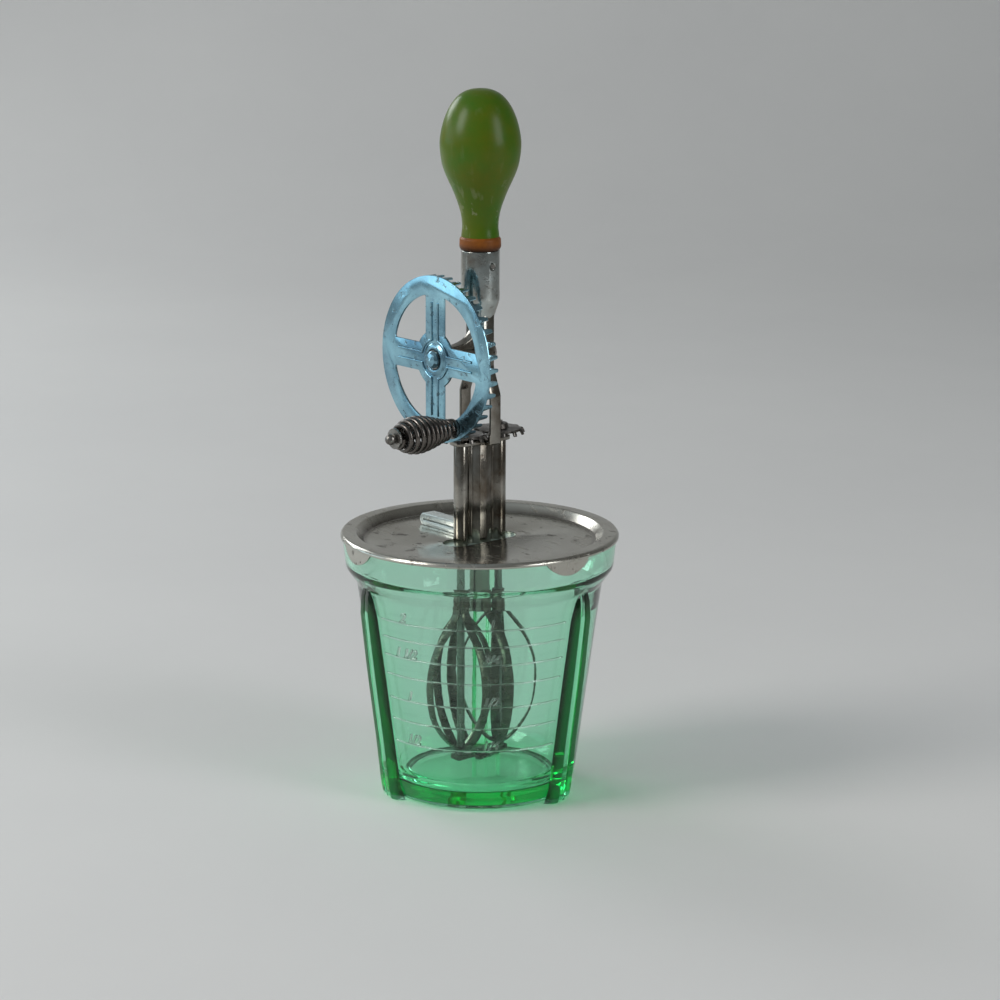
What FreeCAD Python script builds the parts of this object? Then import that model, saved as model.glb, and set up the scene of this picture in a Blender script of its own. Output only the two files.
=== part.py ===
import FreeCAD, Part
import Sketcher
import math
import os

# Hand-cranked mixer on a pressed glass measuring jar. +Z is up, the feet of the jar stand on Z = 0, the
# axis of the jar is the Z axis, and the drive wheel is on the -Y side.

doc = FreeCAD.newDocument("MixerJar")
V = FreeCAD.Vector
sheet = doc.addObject("Spreadsheet::Sheet", "Dims")
row = 0


def give(alias, content, note=""):
    # one named size per row
    global row
    row += 1
    sheet.set("A%d" % row, alias)
    sheet.set("B%d" % row, str(content))
    sheet.set("C%d" % row, note)
    sheet.setAlias("B%d" % row, alias)


# glass jar
give("footDrop", 1.5, "feet below the base ring")
give("jarBaseR", 42.5, "outer radius at the base ring")
give("jarHeelR", 44.5)
give("jarHeelZ", 8)
give("jarShoulderR", 55.2)
give("jarShoulderZ", 89)
give("jarNeckR", 56.8)
give("jarNeckZ", 100)
give("lipLowR", 61.8)
give("lipLowZ", 107)
give("lipR", 63.2, "outer radius of the lip")
give("lipTopZ", 121.4)
give("lipInR", 57.9)
give("wall", 5.5, "glass wall")
give("floorZ", 8.2)
give("floorR", 34)
give("wellR", "=jarHeelR - wall")
give("wellZ", 15)
give("wellTopR", "=jarShoulderR - wall")
give("throatR", "=jarNeckR - wall + 0.8")
give("throatZ", 101)
give("lipInLowZ", 109)
give("hollowFootR", 36, "shallow hollow under the base")
give("hollowFootZ", 3.2)
give("ribWide", 4.4)
give("ribGap", 2.6, "between the two ribs of a pair")
give("ribOut", 1.7)
give("ribTurn", 15.5, "degrees from +X to the first rib pair")
give("lineHigh", 0.8, "raised measuring lines")
give("lineOut", 0.45)
give("lineSpan", 74, "degrees")
give("line1", 30.4)
give("line2", 41.4)
give("line3", 51.7)
give("line4", 63.2)
give("line5", 72.4)
give("line6", 81.2)
give("line7", 89.3)
# lid
give("sheetT", 1.2, "lid sheet")
give("lidR", 63.6)
give("lidTopZ", "=lipTopZ + sheetT")
give("rimWide", 6.6, "flat rim of the lid")
give("rimInR", "=lidR - rimWide")
give("discR", 53.4)
give("discDeep", 4)
give("discZ", "=lidTopZ - discDeep")
give("skirtIn", "=lipR + 0.15")
give("skirtLow", "=lipTopZ - 1.2")
give("slotLong", 40, "tip to tip along Y")
give("slotWide", 14)
give("lugWide", 21.5)
give("lugDeep", 5.6, "below the rim's top")
give("lugOut", 0.9)
# drive
give("wheelR", 38, "outer radius of the wheel")
give("teethWheel", 40)
give("teethPinion", 12)
give("pitchR", 37.5, "pitch radius of the crown teeth")
give("halfSpread", "=pitchR * teethPinion / teethWheel", "shaft to middle, also the pinion's pitch radius")
give("wheelZ", 205.6, "height of the wheel's centre")
give("wheelT", 1.1)
give("tabDeep", 2.25, "crown teeth past the pinion's tips")
give("pinionOut", 1.15, "tooth above the pitch circle")
give("pinionIn", 1.5, "tooth below the pitch circle")
give("pinionTip", "=halfSpread + pinionOut")
give("wheelBackY", "=-(halfSpread + pinionTip + 1.9)", "rear face of the wheel's sheet")
give("tabTipY", "=-(halfSpread + pinionTip) + tabDeep")
give("tabWide", 2.5)
give("tabT", 1.1)
give("pinionT", 2.6)
give("pinionZ", "=wheelZ - pitchR - pinionT / 2")
give("rimBand", 7.6, "flat rim of the wheel")
give("spokeWide", 8.5)
give("hubR", 9)
give("hubRingR", 5.6)
# frame
give("ferruleR", 8.8)
give("ferruleT", 1)
give("ferruleTopZ", 253)
give("ferruleLowZ", 228)
give("strapIn", 9.9, "inner half width beside the pinions")
give("strapT", 1.3)
give("strapOut", "=strapIn + strapT")
give("strapWide", 6)
give("waistIn", 5.1)
give("waistOut", "=waistIn + strapT")
give("shelfZ", "=pinionZ - 0.6", "top of the shelf under the pinions")
give("shelfT", 2)
give("columnR", 3.4)
give("columnIn", 2.3)
give("columnLowZ", 108)
give("sleeveX", 4.6, "half width of the middle sleeve")
give("sleeveY", 4.6)
give("dasherZ", 50, "middle height of the dashers")
give("guardHalfZ", 36.2)
give("sleeveLowZ", "=dasherZ + guardHalfZ")
# beaters
give("spindleR", 1.8)
give("runFit", 0.04, "radial clearance of a running fit")
give("dasherR", 18.4)
give("dasherHalf", 31)
give("stripT", 0.9)
give("stripWide", 5.6)
give("crossClear", 0.45, "the flat of one strip past the curve of the other")
give("guardHalfX", 21.6)
give("guardT", 1.2)
give("guardWide", 6.5)
give("bridgeT", 2.2)
# handle and axle
give("handleTopZ", 325.5)
give("handleLowZ", 253)
give("beadR", 9.7)
give("beadZ", 258.6)
give("neckR", 8.4)
give("neckZ", 265.6)
give("bellyR", 18.7)
give("bellyZ", 302)
give("tangR", 3)
give("studR", 2.5)
give("bushR", 4)
give("pinR", 1.1)
# crank grip
give("crankX", 13)
give("crankDrop", 29.6)
give("wireR", 1.15)
give("coilTurns", 10)
give("coilPitch", 2.9)
give("coilBigR", 7.5, "wire centre at the belly")
give("coilEndR", 3.6)
give("coilGap", 1.3)
give("crankPinR", 1.9)
give("knobR", 2.5)
give("knobOut", 1.4, "knob's centre past the shank, clear of the outer cup")
doc.recompute()


def num(name):
    if isinstance(name, (int, float)):
        return float(name)
    if name.startswith("-"):
        return -float(sheet.get(name[1:]))
    return float(sheet.get(name))


def ref(name):
    return "-Dims." + name[1:] if name.startswith("-") else "Dims." + name


def body(name):
    part = doc.addObject("PartDesign::Body", name)
    part.Label = name
    return part


def plane(part, role):
    return [item for item in part.Origin.OriginFeatures if item.Role == role][0]


def sketch(part, name, role, offset=None, turn=0.0):
    made = part.newObject("Sketcher::SketchObject", name)
    made.AttachmentSupport = (plane(part, role), [""])
    made.MapMode = "FlatFace"
    made.AttachmentOffset = FreeCAD.Placement(V(0, 0, num(offset) if offset else 0), FreeCAD.Rotation(V(0, 1, 0), turn))
    if offset:
        made.setExpression("AttachmentOffset.Base.z", ref(offset))
    return made


def pin_point(made, index, end, spot):
    # ties one sketch point to its named sizes
    for axis, kind in ((0, "DistanceX"), (1, "DistanceY")):
        size = spot[axis]
        if size == 0:
            made.addConstraint(Sketcher.Constraint("PointOnObject", index, end, -2 if axis == 0 else -1))
            continue
        made.addConstraint(Sketcher.Constraint(kind, -1, 1, index, end, num(size)))
        if not isinstance(size, (int, float)):
            made.setExpression("Constraints[%d]" % (made.ConstraintCount - 1), ref(size))


def polygon(made, spots):
    points = [V(num(x), num(y), 0) for x, y in spots]
    first = made.GeometryCount
    count = len(points)
    for i in range(count):
        made.addGeometry(Part.LineSegment(points[i], points[(i + 1) % count]), False)
    for i in range(count):
        made.addConstraint(Sketcher.Constraint("Coincident", first + i, 2, first + (i + 1) % count, 1))
    for i in range(count):
        pin_point(made, first + i, 1, spots[i])


def circle(made, x, y, radius):
    index = made.addGeometry(Part.Circle(V(num(x), num(y), 0), V(0, 0, 1), num(radius)), False)
    made.addConstraint(Sketcher.Constraint("Radius", index, num(radius)))
    made.setExpression("Constraints[%d]" % (made.ConstraintCount - 1), ref(radius))
    pin_point(made, index, 3, (x, y))
    return index


def revolve(part, made, name, kind="PartDesign::Revolution", angle=360.0, middle=False):
    feature = part.newObject(kind, name)
    feature.Profile = made
    feature.ReferenceAxis = (made, ["V_Axis"])
    feature.Angle = angle
    feature.Midplane = middle
    return feature


def pad(part, made, name, length, middle=False, back=False, kind="PartDesign::Pad"):
    feature = part.newObject(kind, name)
    feature.Profile = made
    feature.Length = num(length)
    if not isinstance(length, (int, float)):
        feature.setExpression("Length", ref(length))
    feature.Midplane = middle
    feature.Reversed = back
    return feature


def polar(part, features, name, count):
    feature = part.newObject("PartDesign::PolarPattern", name)
    feature.Originals = features
    feature.Axis = (plane(part, "Z_Axis"), [""])
    feature.Angle = 360
    feature.Occurrences = count
    part.Tip = feature
    return feature


def cylinder(name, radius, length, spot, axis=V(0, 0, 1)):
    made = doc.addObject("Part::Cylinder", name)
    made.Radius = num(radius)
    made.setExpression("Radius", ref(radius)) if not isinstance(radius, (int, float)) else None
    made.Height = num(length)
    made.setExpression("Height", ref(length)) if not isinstance(length, (int, float)) else None
    made.Placement = FreeCAD.Placement(V(*spot), FreeCAD.Rotation(V(0, 0, 1), axis))
    return made


def box(name, size, spot):
    # spot is the middle of the box's lower face
    made = doc.addObject("Part::Box", name)
    made.Length, made.Width, made.Height = size
    made.Placement = FreeCAD.Placement(V(spot[0] - size[0] / 2, spot[1] - size[1] / 2, spot[2]), FreeCAD.Rotation())
    return made


def join(name, items):
    made = doc.addObject("Part::MultiFuse", name)
    made.Shapes = items
    made.Refine = True
    return made


def cut(name, base, tool):
    made = doc.addObject("Part::Cut", name)
    made.Base = base
    made.Tool = tool
    made.Refine = True
    return made


nodes = {}


def node(name, item):
    item.Label = name
    nodes[name] = item


# the jar: turned wall, three rib pairs that end in feet, and seven measuring lines
jar = body("glass_jar")
wallSketch = sketch(jar, "WallSketch", "XZ_Plane")
polygon(wallSketch, [(0, "hollowFootZ"), ("hollowFootR", "hollowFootZ"), ("jarBaseR", "footDrop"),
                     ("jarHeelR", "jarHeelZ"), ("jarShoulderR", "jarShoulderZ"), ("jarNeckR", "jarNeckZ"),
                     ("lipLowR", "lipLowZ"), ("lipR", "lipTopZ"), ("lipInR", "lipTopZ"), ("lipInR", "lipInLowZ"),
                     ("throatR", "throatZ"), ("wellTopR", "jarShoulderZ"), ("wellR", "wellZ"), ("floorR", "floorZ"),
                     (0, "floorZ")])
jarWall = revolve(jar, wallSketch, "JarWall")
ribs = []
give("ribLow", 0.0, "feet reach the table")
give("ribFootIn", "=jarBaseR - 4")
give("ribFootOut", "=jarBaseR + ribOut - 0.4")
give("ribHeelOut", "=jarHeelR + ribOut")
give("ribShoulderOut", "=jarShoulderR + ribOut")
give("ribTopZ", "=jarNeckZ - 3")
give("ribTopOut", "=jarNeckR + 0.4")
give("ribTopIn", "=jarNeckR - 2.5")
give("ribShoulderIn", "=jarShoulderR - 2.5")
give("ribHeelIn", "=jarHeelR - 2.5")
give("ribStart", "=ribGap / 2")
give("ribFar", "=-(ribGap / 2 + ribWide)")
doc.recompute()
for side, offset in (("Left", "ribStart"), ("Right", "ribFar")):
    ribSketch = sketch(jar, "Rib%sSketch" % side, "XZ_Plane", offset)
    polygon(ribSketch, [("ribFootIn", 0), ("ribFootOut", 0), ("ribHeelOut", "jarHeelZ"), ("ribShoulderOut", "jarShoulderZ"),
                        ("ribTopOut", "ribTopZ"), ("ribTopIn", "ribTopZ"), ("ribShoulderIn", "jarShoulderZ"),
                        ("ribHeelIn", "jarHeelZ")])
    ribs.append(pad(jar, ribSketch, "Rib" + side, "ribWide"))
ribRing = polar(jar, ribs, "RibPattern", 3)
for i in range(7):
    level = "line%d" % (i + 1)
    frac = (num(level) - num("jarHeelZ")) / (num("jarShoulderZ") - num("jarHeelZ"))
    outer = num("jarHeelR") + frac * (num("jarShoulderR") - num("jarHeelR"))
    give("lineR%d" % (i + 1), "=jarHeelR + (jarShoulderR - jarHeelR) * (line%d - jarHeelZ) / (jarShoulderZ - jarHeelZ) + lineOut" % (i + 1))
    give("lineIn%d" % (i + 1), "=lineR%d - 1.6" % (i + 1))
    give("lineTop%d" % (i + 1), "=line%d + lineHigh" % (i + 1))
doc.recompute()
for i in range(7):
    k = i + 1
    lineSketch = sketch(jar, "LineSketch%d" % k, "XZ_Plane", None, -60.0)
    polygon(lineSketch, [("lineIn%d" % k, "line%d" % k), ("lineR%d" % k, "line%d" % k),
                         ("lineR%d" % k, "lineTop%d" % k), ("lineIn%d" % k, "lineTop%d" % k)])
    line = revolve(jar, lineSketch, "Line%d" % k, "PartDesign::Revolution", num("lineSpan"), True)
    line.setExpression("Angle", "Dims.lineSpan")
jar.Placement = FreeCAD.Placement(V(0, 0, 0), FreeCAD.Rotation(V(0, 0, 1), num("ribTurn")))
node("glass_jar", jar)

# the lid: pressed sheet with a raised rim, a sunk disc, a slot and four lugs
give("discLowZ", "=discZ - sheetT")
give("rimLowZ", "=lidTopZ - sheetT")
give("slopeOutR", "=rimInR - 0.9")
give("lidEdgeR", "=lidR + 0.5")
give("rimBendR", "=lidR - 1.2")
give("rimBendZ", "=lidTopZ - 1.2")
give("lugLowZ", "=lidTopZ - lugDeep")
give("slotEnd", "=slotLong / 2 - slotWide / 2")
give("slotR", "=slotWide / 2")
doc.recompute()
lid = body("lid")
lidSketch = sketch(lid, "LidSketch", "XZ_Plane")
polygon(lidSketch, [(0, "discLowZ"), ("discR", "discLowZ"), ("slopeOutR", "rimLowZ"), ("skirtIn", "rimLowZ"),
                    ("skirtIn", "skirtLow"), ("lidEdgeR", "skirtLow"), ("lidEdgeR", "rimBendZ"), ("rimBendR", "lidTopZ"),
                    ("rimInR", "lidTopZ"), ("discR", "discZ"), (0, "discZ")])
revolve(lid, lidSketch, "LidSheet")
slotSketch = sketch(lid, "SlotSketch", "XY_Plane", "discZ")
slotSketch.addGeometry(Part.ArcOfCircle(Part.Circle(V(0, num("slotEnd"), 0), V(0, 0, 1), num("slotR")), 0, math.pi), False)
slotSketch.addGeometry(Part.LineSegment(V(-num("slotR"), num("slotEnd"), 0), V(-num("slotR"), -num("slotEnd"), 0)), False)
slotSketch.addGeometry(Part.ArcOfCircle(Part.Circle(V(0, -num("slotEnd"), 0), V(0, 0, 1), num("slotR")), math.pi, 2 * math.pi), False)
slotSketch.addGeometry(Part.LineSegment(V(num("slotR"), -num("slotEnd"), 0), V(num("slotR"), num("slotEnd"), 0)), False)
for a, b in ((0, 1), (1, 2), (2, 3), (3, 0)):
    slotSketch.addConstraint(Sketcher.Constraint("Tangent", a, 2, b, 1))
slotSketch.addConstraint(Sketcher.Constraint("Radius", 0, num("slotR")))
slotSketch.setExpression("Constraints[4]", "Dims.slotR")
pin_point(slotSketch, 0, 3, (0, "slotEnd"))
pin_point(slotSketch, 2, 3, (0, "-slotEnd"))
slotCut = pad(lid, slotSketch, "SlotCut", 6, True, False, "PartDesign::Pocket")
lid.Tip = slotCut
lugs = []
for k in range(4):
    # a rounded tongue that hangs over the glass lip
    rod = cylinder("LugRod%d" % k, 10.75, 1.0, (0, 0, 0), V(1, 0, 0))
    rod.setExpression("Radius", "Dims.lugWide / 2")
    rod.setExpression("Height", "Dims.lugOut")
    trim = box("LugTrim%d" % k, (3, 30, 30), (0, 0, 0))
    lug = cut("Lug%d" % k, rod, trim)
    lugs.append((rod, trim, lug))
lugAngles = (88.7, -11.3, 168.7, 268.7)
lugItems = []
for k, b in enumerate(lugAngles):
    turn = b - 90
    rod, trim, lug = lugs[k]
    trim.Placement = FreeCAD.Placement(V(-1.5, -15, 0), FreeCAD.Rotation())
    drop = num("lugWide") / 2 - num("lugDeep")
    rod.Placement = FreeCAD.Placement(V(0, 0, 0), FreeCAD.Rotation(V(0, 0, 1), V(1, 0, 0)))
    trim.Placement = FreeCAD.Placement(V(-1.5, -15, -drop - 0.3), FreeCAD.Rotation())
    lug.Placement = FreeCAD.Placement(V(0, 0, 0), FreeCAD.Rotation())
    spin = FreeCAD.Rotation(V(0, 0, 1), turn)
    lug.Placement = FreeCAD.Placement(spin.multVec(V(num("lidR") - 0.35, 0, num("lidTopZ") + drop)), spin)
    lugItems.append(lug)
lidWhole = join("LidWhole", [lid] + lugItems)
node("lid", lidWhole)

# a small sliding latch on the lid, with its tongue at the middle sleeve
give("latchLong", 25)
give("latchWide", 7.5)
give("latchT", 2.2)
give("latchGap", 0.3, "tongue to sleeve")
give("latchX", "=-(sleeveX + latchGap + latchLong)")
doc.recompute()
latch = body("lid_latch")
give("latchZ", "=discZ + 0.05")
doc.recompute()
latchSketch = sketch(latch, "LatchSketch", "XY_Plane", "latchZ")
give("latchEndX", "=-(sleeveX + latchGap)")
give("latchHalf", "=latchWide / 2")
give("tongueX", "=latchEndX - 9")
give("tongueHalf", "=latchWide / 2 - 1.4")
doc.recompute()
polygon(latchSketch, [("latchX", "-latchHalf"), ("tongueX", "-latchHalf"), ("tongueX", "-tongueHalf"),
                      ("latchEndX", "-tongueHalf"), ("latchEndX", "tongueHalf"), ("tongueX", "tongueHalf"),
                      ("tongueX", "latchHalf"), ("latchX", "latchHalf")])
pad(latch, latchSketch, "LatchPlate", "latchT")
node("lid_latch", latch)

# keeper plate under the lid, round the columns
give("keeperT", 1.2)
give("keeperWide", 19)
give("keeperLong", 46)
give("keeperZ", "=discLowZ - keeperT")
doc.recompute()
keeperBlank = box("KeeperBlank", (num("keeperWide"), num("keeperLong"), num("keeperT")), (0, 0, num("keeperZ")))
keeperBlank.setExpression("Length", "Dims.keeperWide")
keeperBlank.setExpression("Width", "Dims.keeperLong")
keeperBlank.setExpression("Height", "Dims.keeperT")
curls = []
for k, side in enumerate((-1, 1)):
    curl = cylinder("KeeperCurl%d" % k, 1.8, "keeperWide", (-num("keeperWide") / 2, side * num("keeperLong") / 2, num("keeperZ") - 0.6), V(1, 0, 0))
    bore = cylinder("KeeperCurlBore%d" % k, 0.7, 30, (-15, side * num("keeperLong") / 2, num("keeperZ") - 0.6), V(1, 0, 0))
    curls.append(cut("KeeperRoll%d" % k, curl, bore))

# frame: ferrule, strap loop, shelf, two columns and a middle sleeve
ferruleOuter = cylinder("FerruleOuter", "ferruleR", num("ferruleTopZ") - num("ferruleLowZ"), (0, 0, num("ferruleLowZ")))
give("ferruleIn", "=ferruleR - ferruleT")
give("ferruleLong", "=ferruleTopZ - ferruleLowZ")
doc.recompute()
ferruleOuter.setExpression("Height", "Dims.ferruleLong")
ferruleBore = cylinder("FerruleBore", "ferruleIn", 60, (0, 0, num("ferruleLowZ") + 2))
ferrule = cut("Ferrule", ferruleOuter, ferruleBore)
neckCone = doc.addObject("Part::Cone", "NeckCone")
neckCone.Radius1 = num("waistOut")
neckCone.Radius2 = num("ferruleR")
neckCone.Height = 7
neckCone.setExpression("Radius1", "Dims.waistOut")
neckCone.setExpression("Radius2", "Dims.ferruleR")
neckCone.Placement = FreeCAD.Placement(V(0, 0, num("ferruleLowZ") - 7), FreeCAD.Rotation())
strap = body("StrapLoop")
give("strapTopZ", "=ferruleLowZ - 4")
give("waistHighZ", "=wheelZ + 12")
give("waistLowZ", "=wheelZ - 7")
give("fanZ", "=wheelZ - 19")
give("strapInTopZ", "=strapTopZ - strapT - 1")
give("shelfLowZ", "=shelfZ - shelfT")
doc.recompute()
strapSketch = sketch(strap, "StrapSketch", "XZ_Plane")
polygon(strapSketch, [("-waistOut", "strapTopZ"), ("-waistOut", "waistLowZ"), ("-strapOut", "fanZ"), ("-strapOut", "shelfLowZ"),
                      ("strapOut", "shelfLowZ"), ("strapOut", "fanZ"), ("waistOut", "waistLowZ"), ("waistOut", "strapTopZ")])
polygon(strapSketch, [("-waistIn", "strapInTopZ"), ("waistIn", "strapInTopZ"), ("waistIn", "waistLowZ"), ("strapIn", "fanZ"),
                      ("strapIn", "shelfZ"), ("-strapIn", "shelfZ"), ("-strapIn", "fanZ"), ("-waistIn", "waistLowZ")])
pad(strap, strapSketch, "StrapRing", "strapWide", True)
bushTube = cylinder("AxleTube", "bushR", 10.4, (0, 5.2, num("wheelZ")), V(0, -1, 0))
saddle = box("AxleSaddle", (2 * num("waistIn") + 1, num("strapWide"), 5), (0, 0, num("wheelZ") - 2.5))
axleHole = cylinder("AxleHole", "studR", 40, (0, 20, num("wheelZ")), V(0, -1, 0))
shelf = box("ShaftShelf", (10, 2 * num("halfSpread") + 9, num("shelfT")), (0, 0, num("shelfLowZ")))
give("columnLong", "=shelfLowZ + 0.5 - columnLowZ")
doc.recompute()
columns = []
bores = []
for k, side in enumerate((-1, 1)):
    columns.append(cylinder("Column%d" % k, "columnR", "columnLong", (0, side * num("halfSpread"), num("columnLowZ"))))
    bores.append(cylinder("ColumnBore%d" % k, "columnIn", 90, (0, side * num("halfSpread"), num("columnLowZ") - 1)))
    bores[-1].Height = num("shelfLowZ") - num("columnLowZ")
    bores.append(cylinder("ShaftHole%d" % k, 1.84, 60, (0, side * num("halfSpread"), 120)))
    bores[-1].setExpression("Radius", "Dims.spindleR + Dims.runFit")
web = box("ColumnWeb", (1.6, 2 * num("halfSpread"), 46), (0, 0, num("columnLowZ")))
sleeve = doc.addObject("Part::Cylinder", "SleeveRound")
sleeve.Radius = num("sleeveX")
sleeve.setExpression("Radius", "Dims.sleeveX")
sleeve.Height = num("shelfLowZ") + 0.5 - num("sleeveLowZ")
sleeve.Placement = FreeCAD.Placement(V(0, 0, num("sleeveLowZ")), FreeCAD.Rotation())
web.Height = num("shelfLowZ") + 0.5 - num("columnLowZ")
feet = [sleeve, web] + columns + [shelf]
frameBlank = join("FrameBlank", [ferrule, neckCone, strap, bushTube, saddle] + feet)
frameTools = join("FrameTools", [axleHole] + bores)
frame = cut("FrameWhole", frameBlank, frameTools)
node("frame", frame)
give("keeperHole", "=columnR + 0.02")
keeperWhole = join("KeeperJoin", [keeperBlank] + curls)
keeperTools = []
doc.recompute()
for k, side in enumerate((-1, 1)):
    keeperTools.append(cylinder("KeeperHole%d" % k, "keeperHole", 12, (0, side * num("halfSpread"), num("keeperZ") - 5)))
keeperTools.append(cylinder("KeeperSleeve", num("sleeveX") + 0.02, 12, (0, 0, num("keeperZ") - 5)))
keeperTools.append(box("KeeperWeb", (1.64, 2 * num("halfSpread"), 12), (0, 0, num("keeperZ") - 5)))
node("lid_keeper", cut("KeeperPlate", keeperWhole, join("KeeperTools", keeperTools)))

# handle, its tang and the pin through the ferrule
handle = body("handle")
handleSketch = sketch(handle, "HandleSketch", "XZ_Plane")
belly = [(num("beadR") - 0.9, num("beadZ")), (num("neckR"), num("neckZ")), (10.7, 272), (14.2, 280), (17.2, 290),
         (num("bellyR"), num("bellyZ")), (17.9, 312), (14.6, 319.5), (8.6, 324.2), (0, num("handleTopZ"))]
curve = Part.BSplineCurve()
curve.interpolate([V(x, z, 0) for x, z in belly])
handleSketch.addGeometry(curve, False)
handleSketch.addConstraint(Sketcher.Constraint("Block", 0))
under = [(0, "handleTopZ"), (0, "tangTopZ"), ("tangR", "tangTopZ"), ("tangR", "handleLowZ"), ("beadR", "handleLowZ"), ("beadR", "beadZ"), ("beadInR", "beadZ")]
give("tangTopZ", "=bellyZ - 4")
give("beadInR", "=beadR - 0.9")
doc.recompute()
for i in range(6):
    a, b = under[i], under[i + 1]
    handleSketch.addGeometry(Part.LineSegment(V(num(a[0]), num(a[1]), 0), V(num(b[0]), num(b[1]), 0)), False)
for i in range(1, 6):
    handleSketch.addConstraint(Sketcher.Constraint("Coincident", i, 2, i + 1, 1))
handleSketch.addConstraint(Sketcher.Constraint("Coincident", 1, 1, 0, 2))
handleSketch.addConstraint(Sketcher.Constraint("Coincident", 6, 2, 0, 1))
for i in range(1, 6):
    pin_point(handleSketch, i, 2, under[i])
revolve(handle, handleSketch, "TurnedWood")
node("handle", handle)
give("tangLowZ", "=ferruleLowZ + 4")
give("tangLong", "=tangTopZ - tangLowZ")
doc.recompute()
tangRod = cylinder("TangRod", "tangR", "tangLong", (0, 0, num("tangLowZ")))
tangPlug = cylinder("TangPlug", "ferruleIn", num("ferruleTopZ") - num("tangLowZ"), (0, 0, num("tangLowZ")))
pinZ = num("ferruleTopZ") - 7
pinTool = cylinder("PinHoleTool", "pinR", 40, (-20, 0, pinZ), V(1, 0, 0))
tang = cut("TangWhole", join("TangBlank", [tangRod, tangPlug]), pinTool)
node("handle_tang", tang)
frameDrilled = cut("FrameDrilled", frame, pinTool)
nodes["frame"] = frameDrilled
frame.Label = "FramePressed"
frameDrilled.Label = "frame"
pinShank = cylinder("PinShank", "pinR", 2 * num("ferruleR") + 0.4, (-num("ferruleR") - 0.2, 0, pinZ), V(1, 0, 0))
node("ferrule_pin", pinShank)

# drive wheel: pressed disc with four windows, raised hub ring and bent crown teeth
wheel = body("WheelSheet")
give("wheelInR", "=wheelR - rimBand")
give("windowInR", "=hubR + 1.4")
doc.recompute()
wheelSketch = sketch(wheel, "WheelSketch", "XY_Plane")
circle(wheelSketch, 0, 0, "wheelR")
circle(wheelSketch, 0, 0, "studR")
pad(wheel, wheelSketch, "WheelDisc", "wheelT")
windowSketch = sketch(wheel, "WindowSketch", "XY_Plane")
outR, inR, half = num("wheelInR"), num("windowInR"), num("spokeWide") / 2
a1 = math.asin(half / outR)
a0 = math.asin(half / inR)
corners = [V(inR * math.cos(a0), inR * math.sin(a0), 0), V(outR * math.cos(a1), outR * math.sin(a1), 0),
           V(outR * math.sin(a1), outR * math.cos(a1), 0), V(inR * math.sin(a0), inR * math.cos(a0), 0)]
windowSketch.addGeometry(Part.LineSegment(corners[0], corners[1]), False)
windowSketch.addGeometry(Part.ArcOfCircle(Part.Circle(V(0, 0, 0), V(0, 0, 1), outR), a1, math.pi / 2 - a1), False)
windowSketch.addGeometry(Part.LineSegment(corners[2], corners[3]), False)
windowSketch.addGeometry(Part.ArcOfCircle(Part.Circle(V(0, 0, 0), V(0, 0, 1), inR), a0, math.pi / 2 - a0), False)
windowSketch.addConstraint(Sketcher.Constraint("Coincident", 0, 2, 1, 1))
windowSketch.addConstraint(Sketcher.Constraint("Coincident", 1, 2, 2, 1))
windowSketch.addConstraint(Sketcher.Constraint("Coincident", 2, 2, 3, 2))
windowSketch.addConstraint(Sketcher.Constraint("Coincident", 3, 1, 0, 1))
for arc in (1, 3):
    windowSketch.addConstraint(Sketcher.Constraint("Coincident", arc, 3, -1, 1))
windowSketch.addConstraint(Sketcher.Constraint("Radius", 1, outR))
windowSketch.setExpression("Constraints[6]", "Dims.wheelInR")
windowSketch.addConstraint(Sketcher.Constraint("Radius", 3, inR))
windowSketch.setExpression("Constraints[7]", "Dims.windowInR")
windowSketch.addConstraint(Sketcher.Constraint("DistanceY", -1, 1, 0, 1, half))
windowSketch.setExpression("Constraints[8]", "Dims.spokeWide / 2")
windowSketch.addConstraint(Sketcher.Constraint("DistanceY", -1, 1, 0, 2, half))
windowSketch.setExpression("Constraints[9]", "Dims.spokeWide / 2")
windowSketch.addConstraint(Sketcher.Constraint("DistanceX", -1, 1, 2, 1, half))
windowSketch.setExpression("Constraints[10]", "Dims.spokeWide / 2")
windowSketch.addConstraint(Sketcher.Constraint("DistanceX", -1, 1, 2, 2, half))
windowSketch.setExpression("Constraints[11]", "Dims.spokeWide / 2")
window = pad(wheel, windowSketch, "Window", 3, True, False, "PartDesign::Pocket")
windows = polar(wheel, [window], "Windows", 4)
doc.recompute()
spokeEdges = []
for index, edge in enumerate(windows.Shape.Edges):
    if len(edge.Vertexes) == 2 and abs(edge.Length - num("wheelT")) < 0.01:
        spokeEdges.append("Edge%d" % (index + 1))
rounds = wheel.newObject("PartDesign::Fillet", "WindowRounds")
rounds.Base = (windows, spokeEdges)
rounds.Radius = 2.2
wheel.Tip = rounds
wheelRing = doc.addObject("Part::Torus", "HubRing")
wheelRing.Radius1 = num("hubRingR")
wheelRing.Radius2 = 1.1
wheelRing.setExpression("Radius1", "Dims.hubRingR")
wheelRing.Placement = FreeCAD.Placement(V(0, 0, num("wheelT")), FreeCAD.Rotation())
give("tabLong", "=tabTipY - wheelBackY + 0.4")
doc.recompute()
tabs = body("CrownTabs")
tabSketch = sketch(tabs, "TabSketch", "XY_Plane")
give("tabInR", "=pitchR - tabT / 2")
give("tabOutR", "=pitchR + tabT / 2")
give("tabHalf", "=tabWide / 2")
doc.recompute()
polygon(tabSketch, [("tabInR", "-tabHalf"), ("tabOutR", "-tabHalf"), ("tabOutR", "tabHalf"), ("tabInR", "tabHalf")])
tab = pad(tabs, tabSketch, "Tab", "tabLong", False, True)
tabEdges = []
doc.recompute()
for index, edge in enumerate(tab.Shape.Edges):
    mid = edge.CenterOfMass
    if abs(abs(mid.y) - num("tabHalf")) < 0.01 and mid.z < -num("tabLong") + 0.01:
        tabEdges.append("Edge%d" % (index + 1))
tabRound = tabs.newObject("PartDesign::Chamfer", "TabRound")
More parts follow.
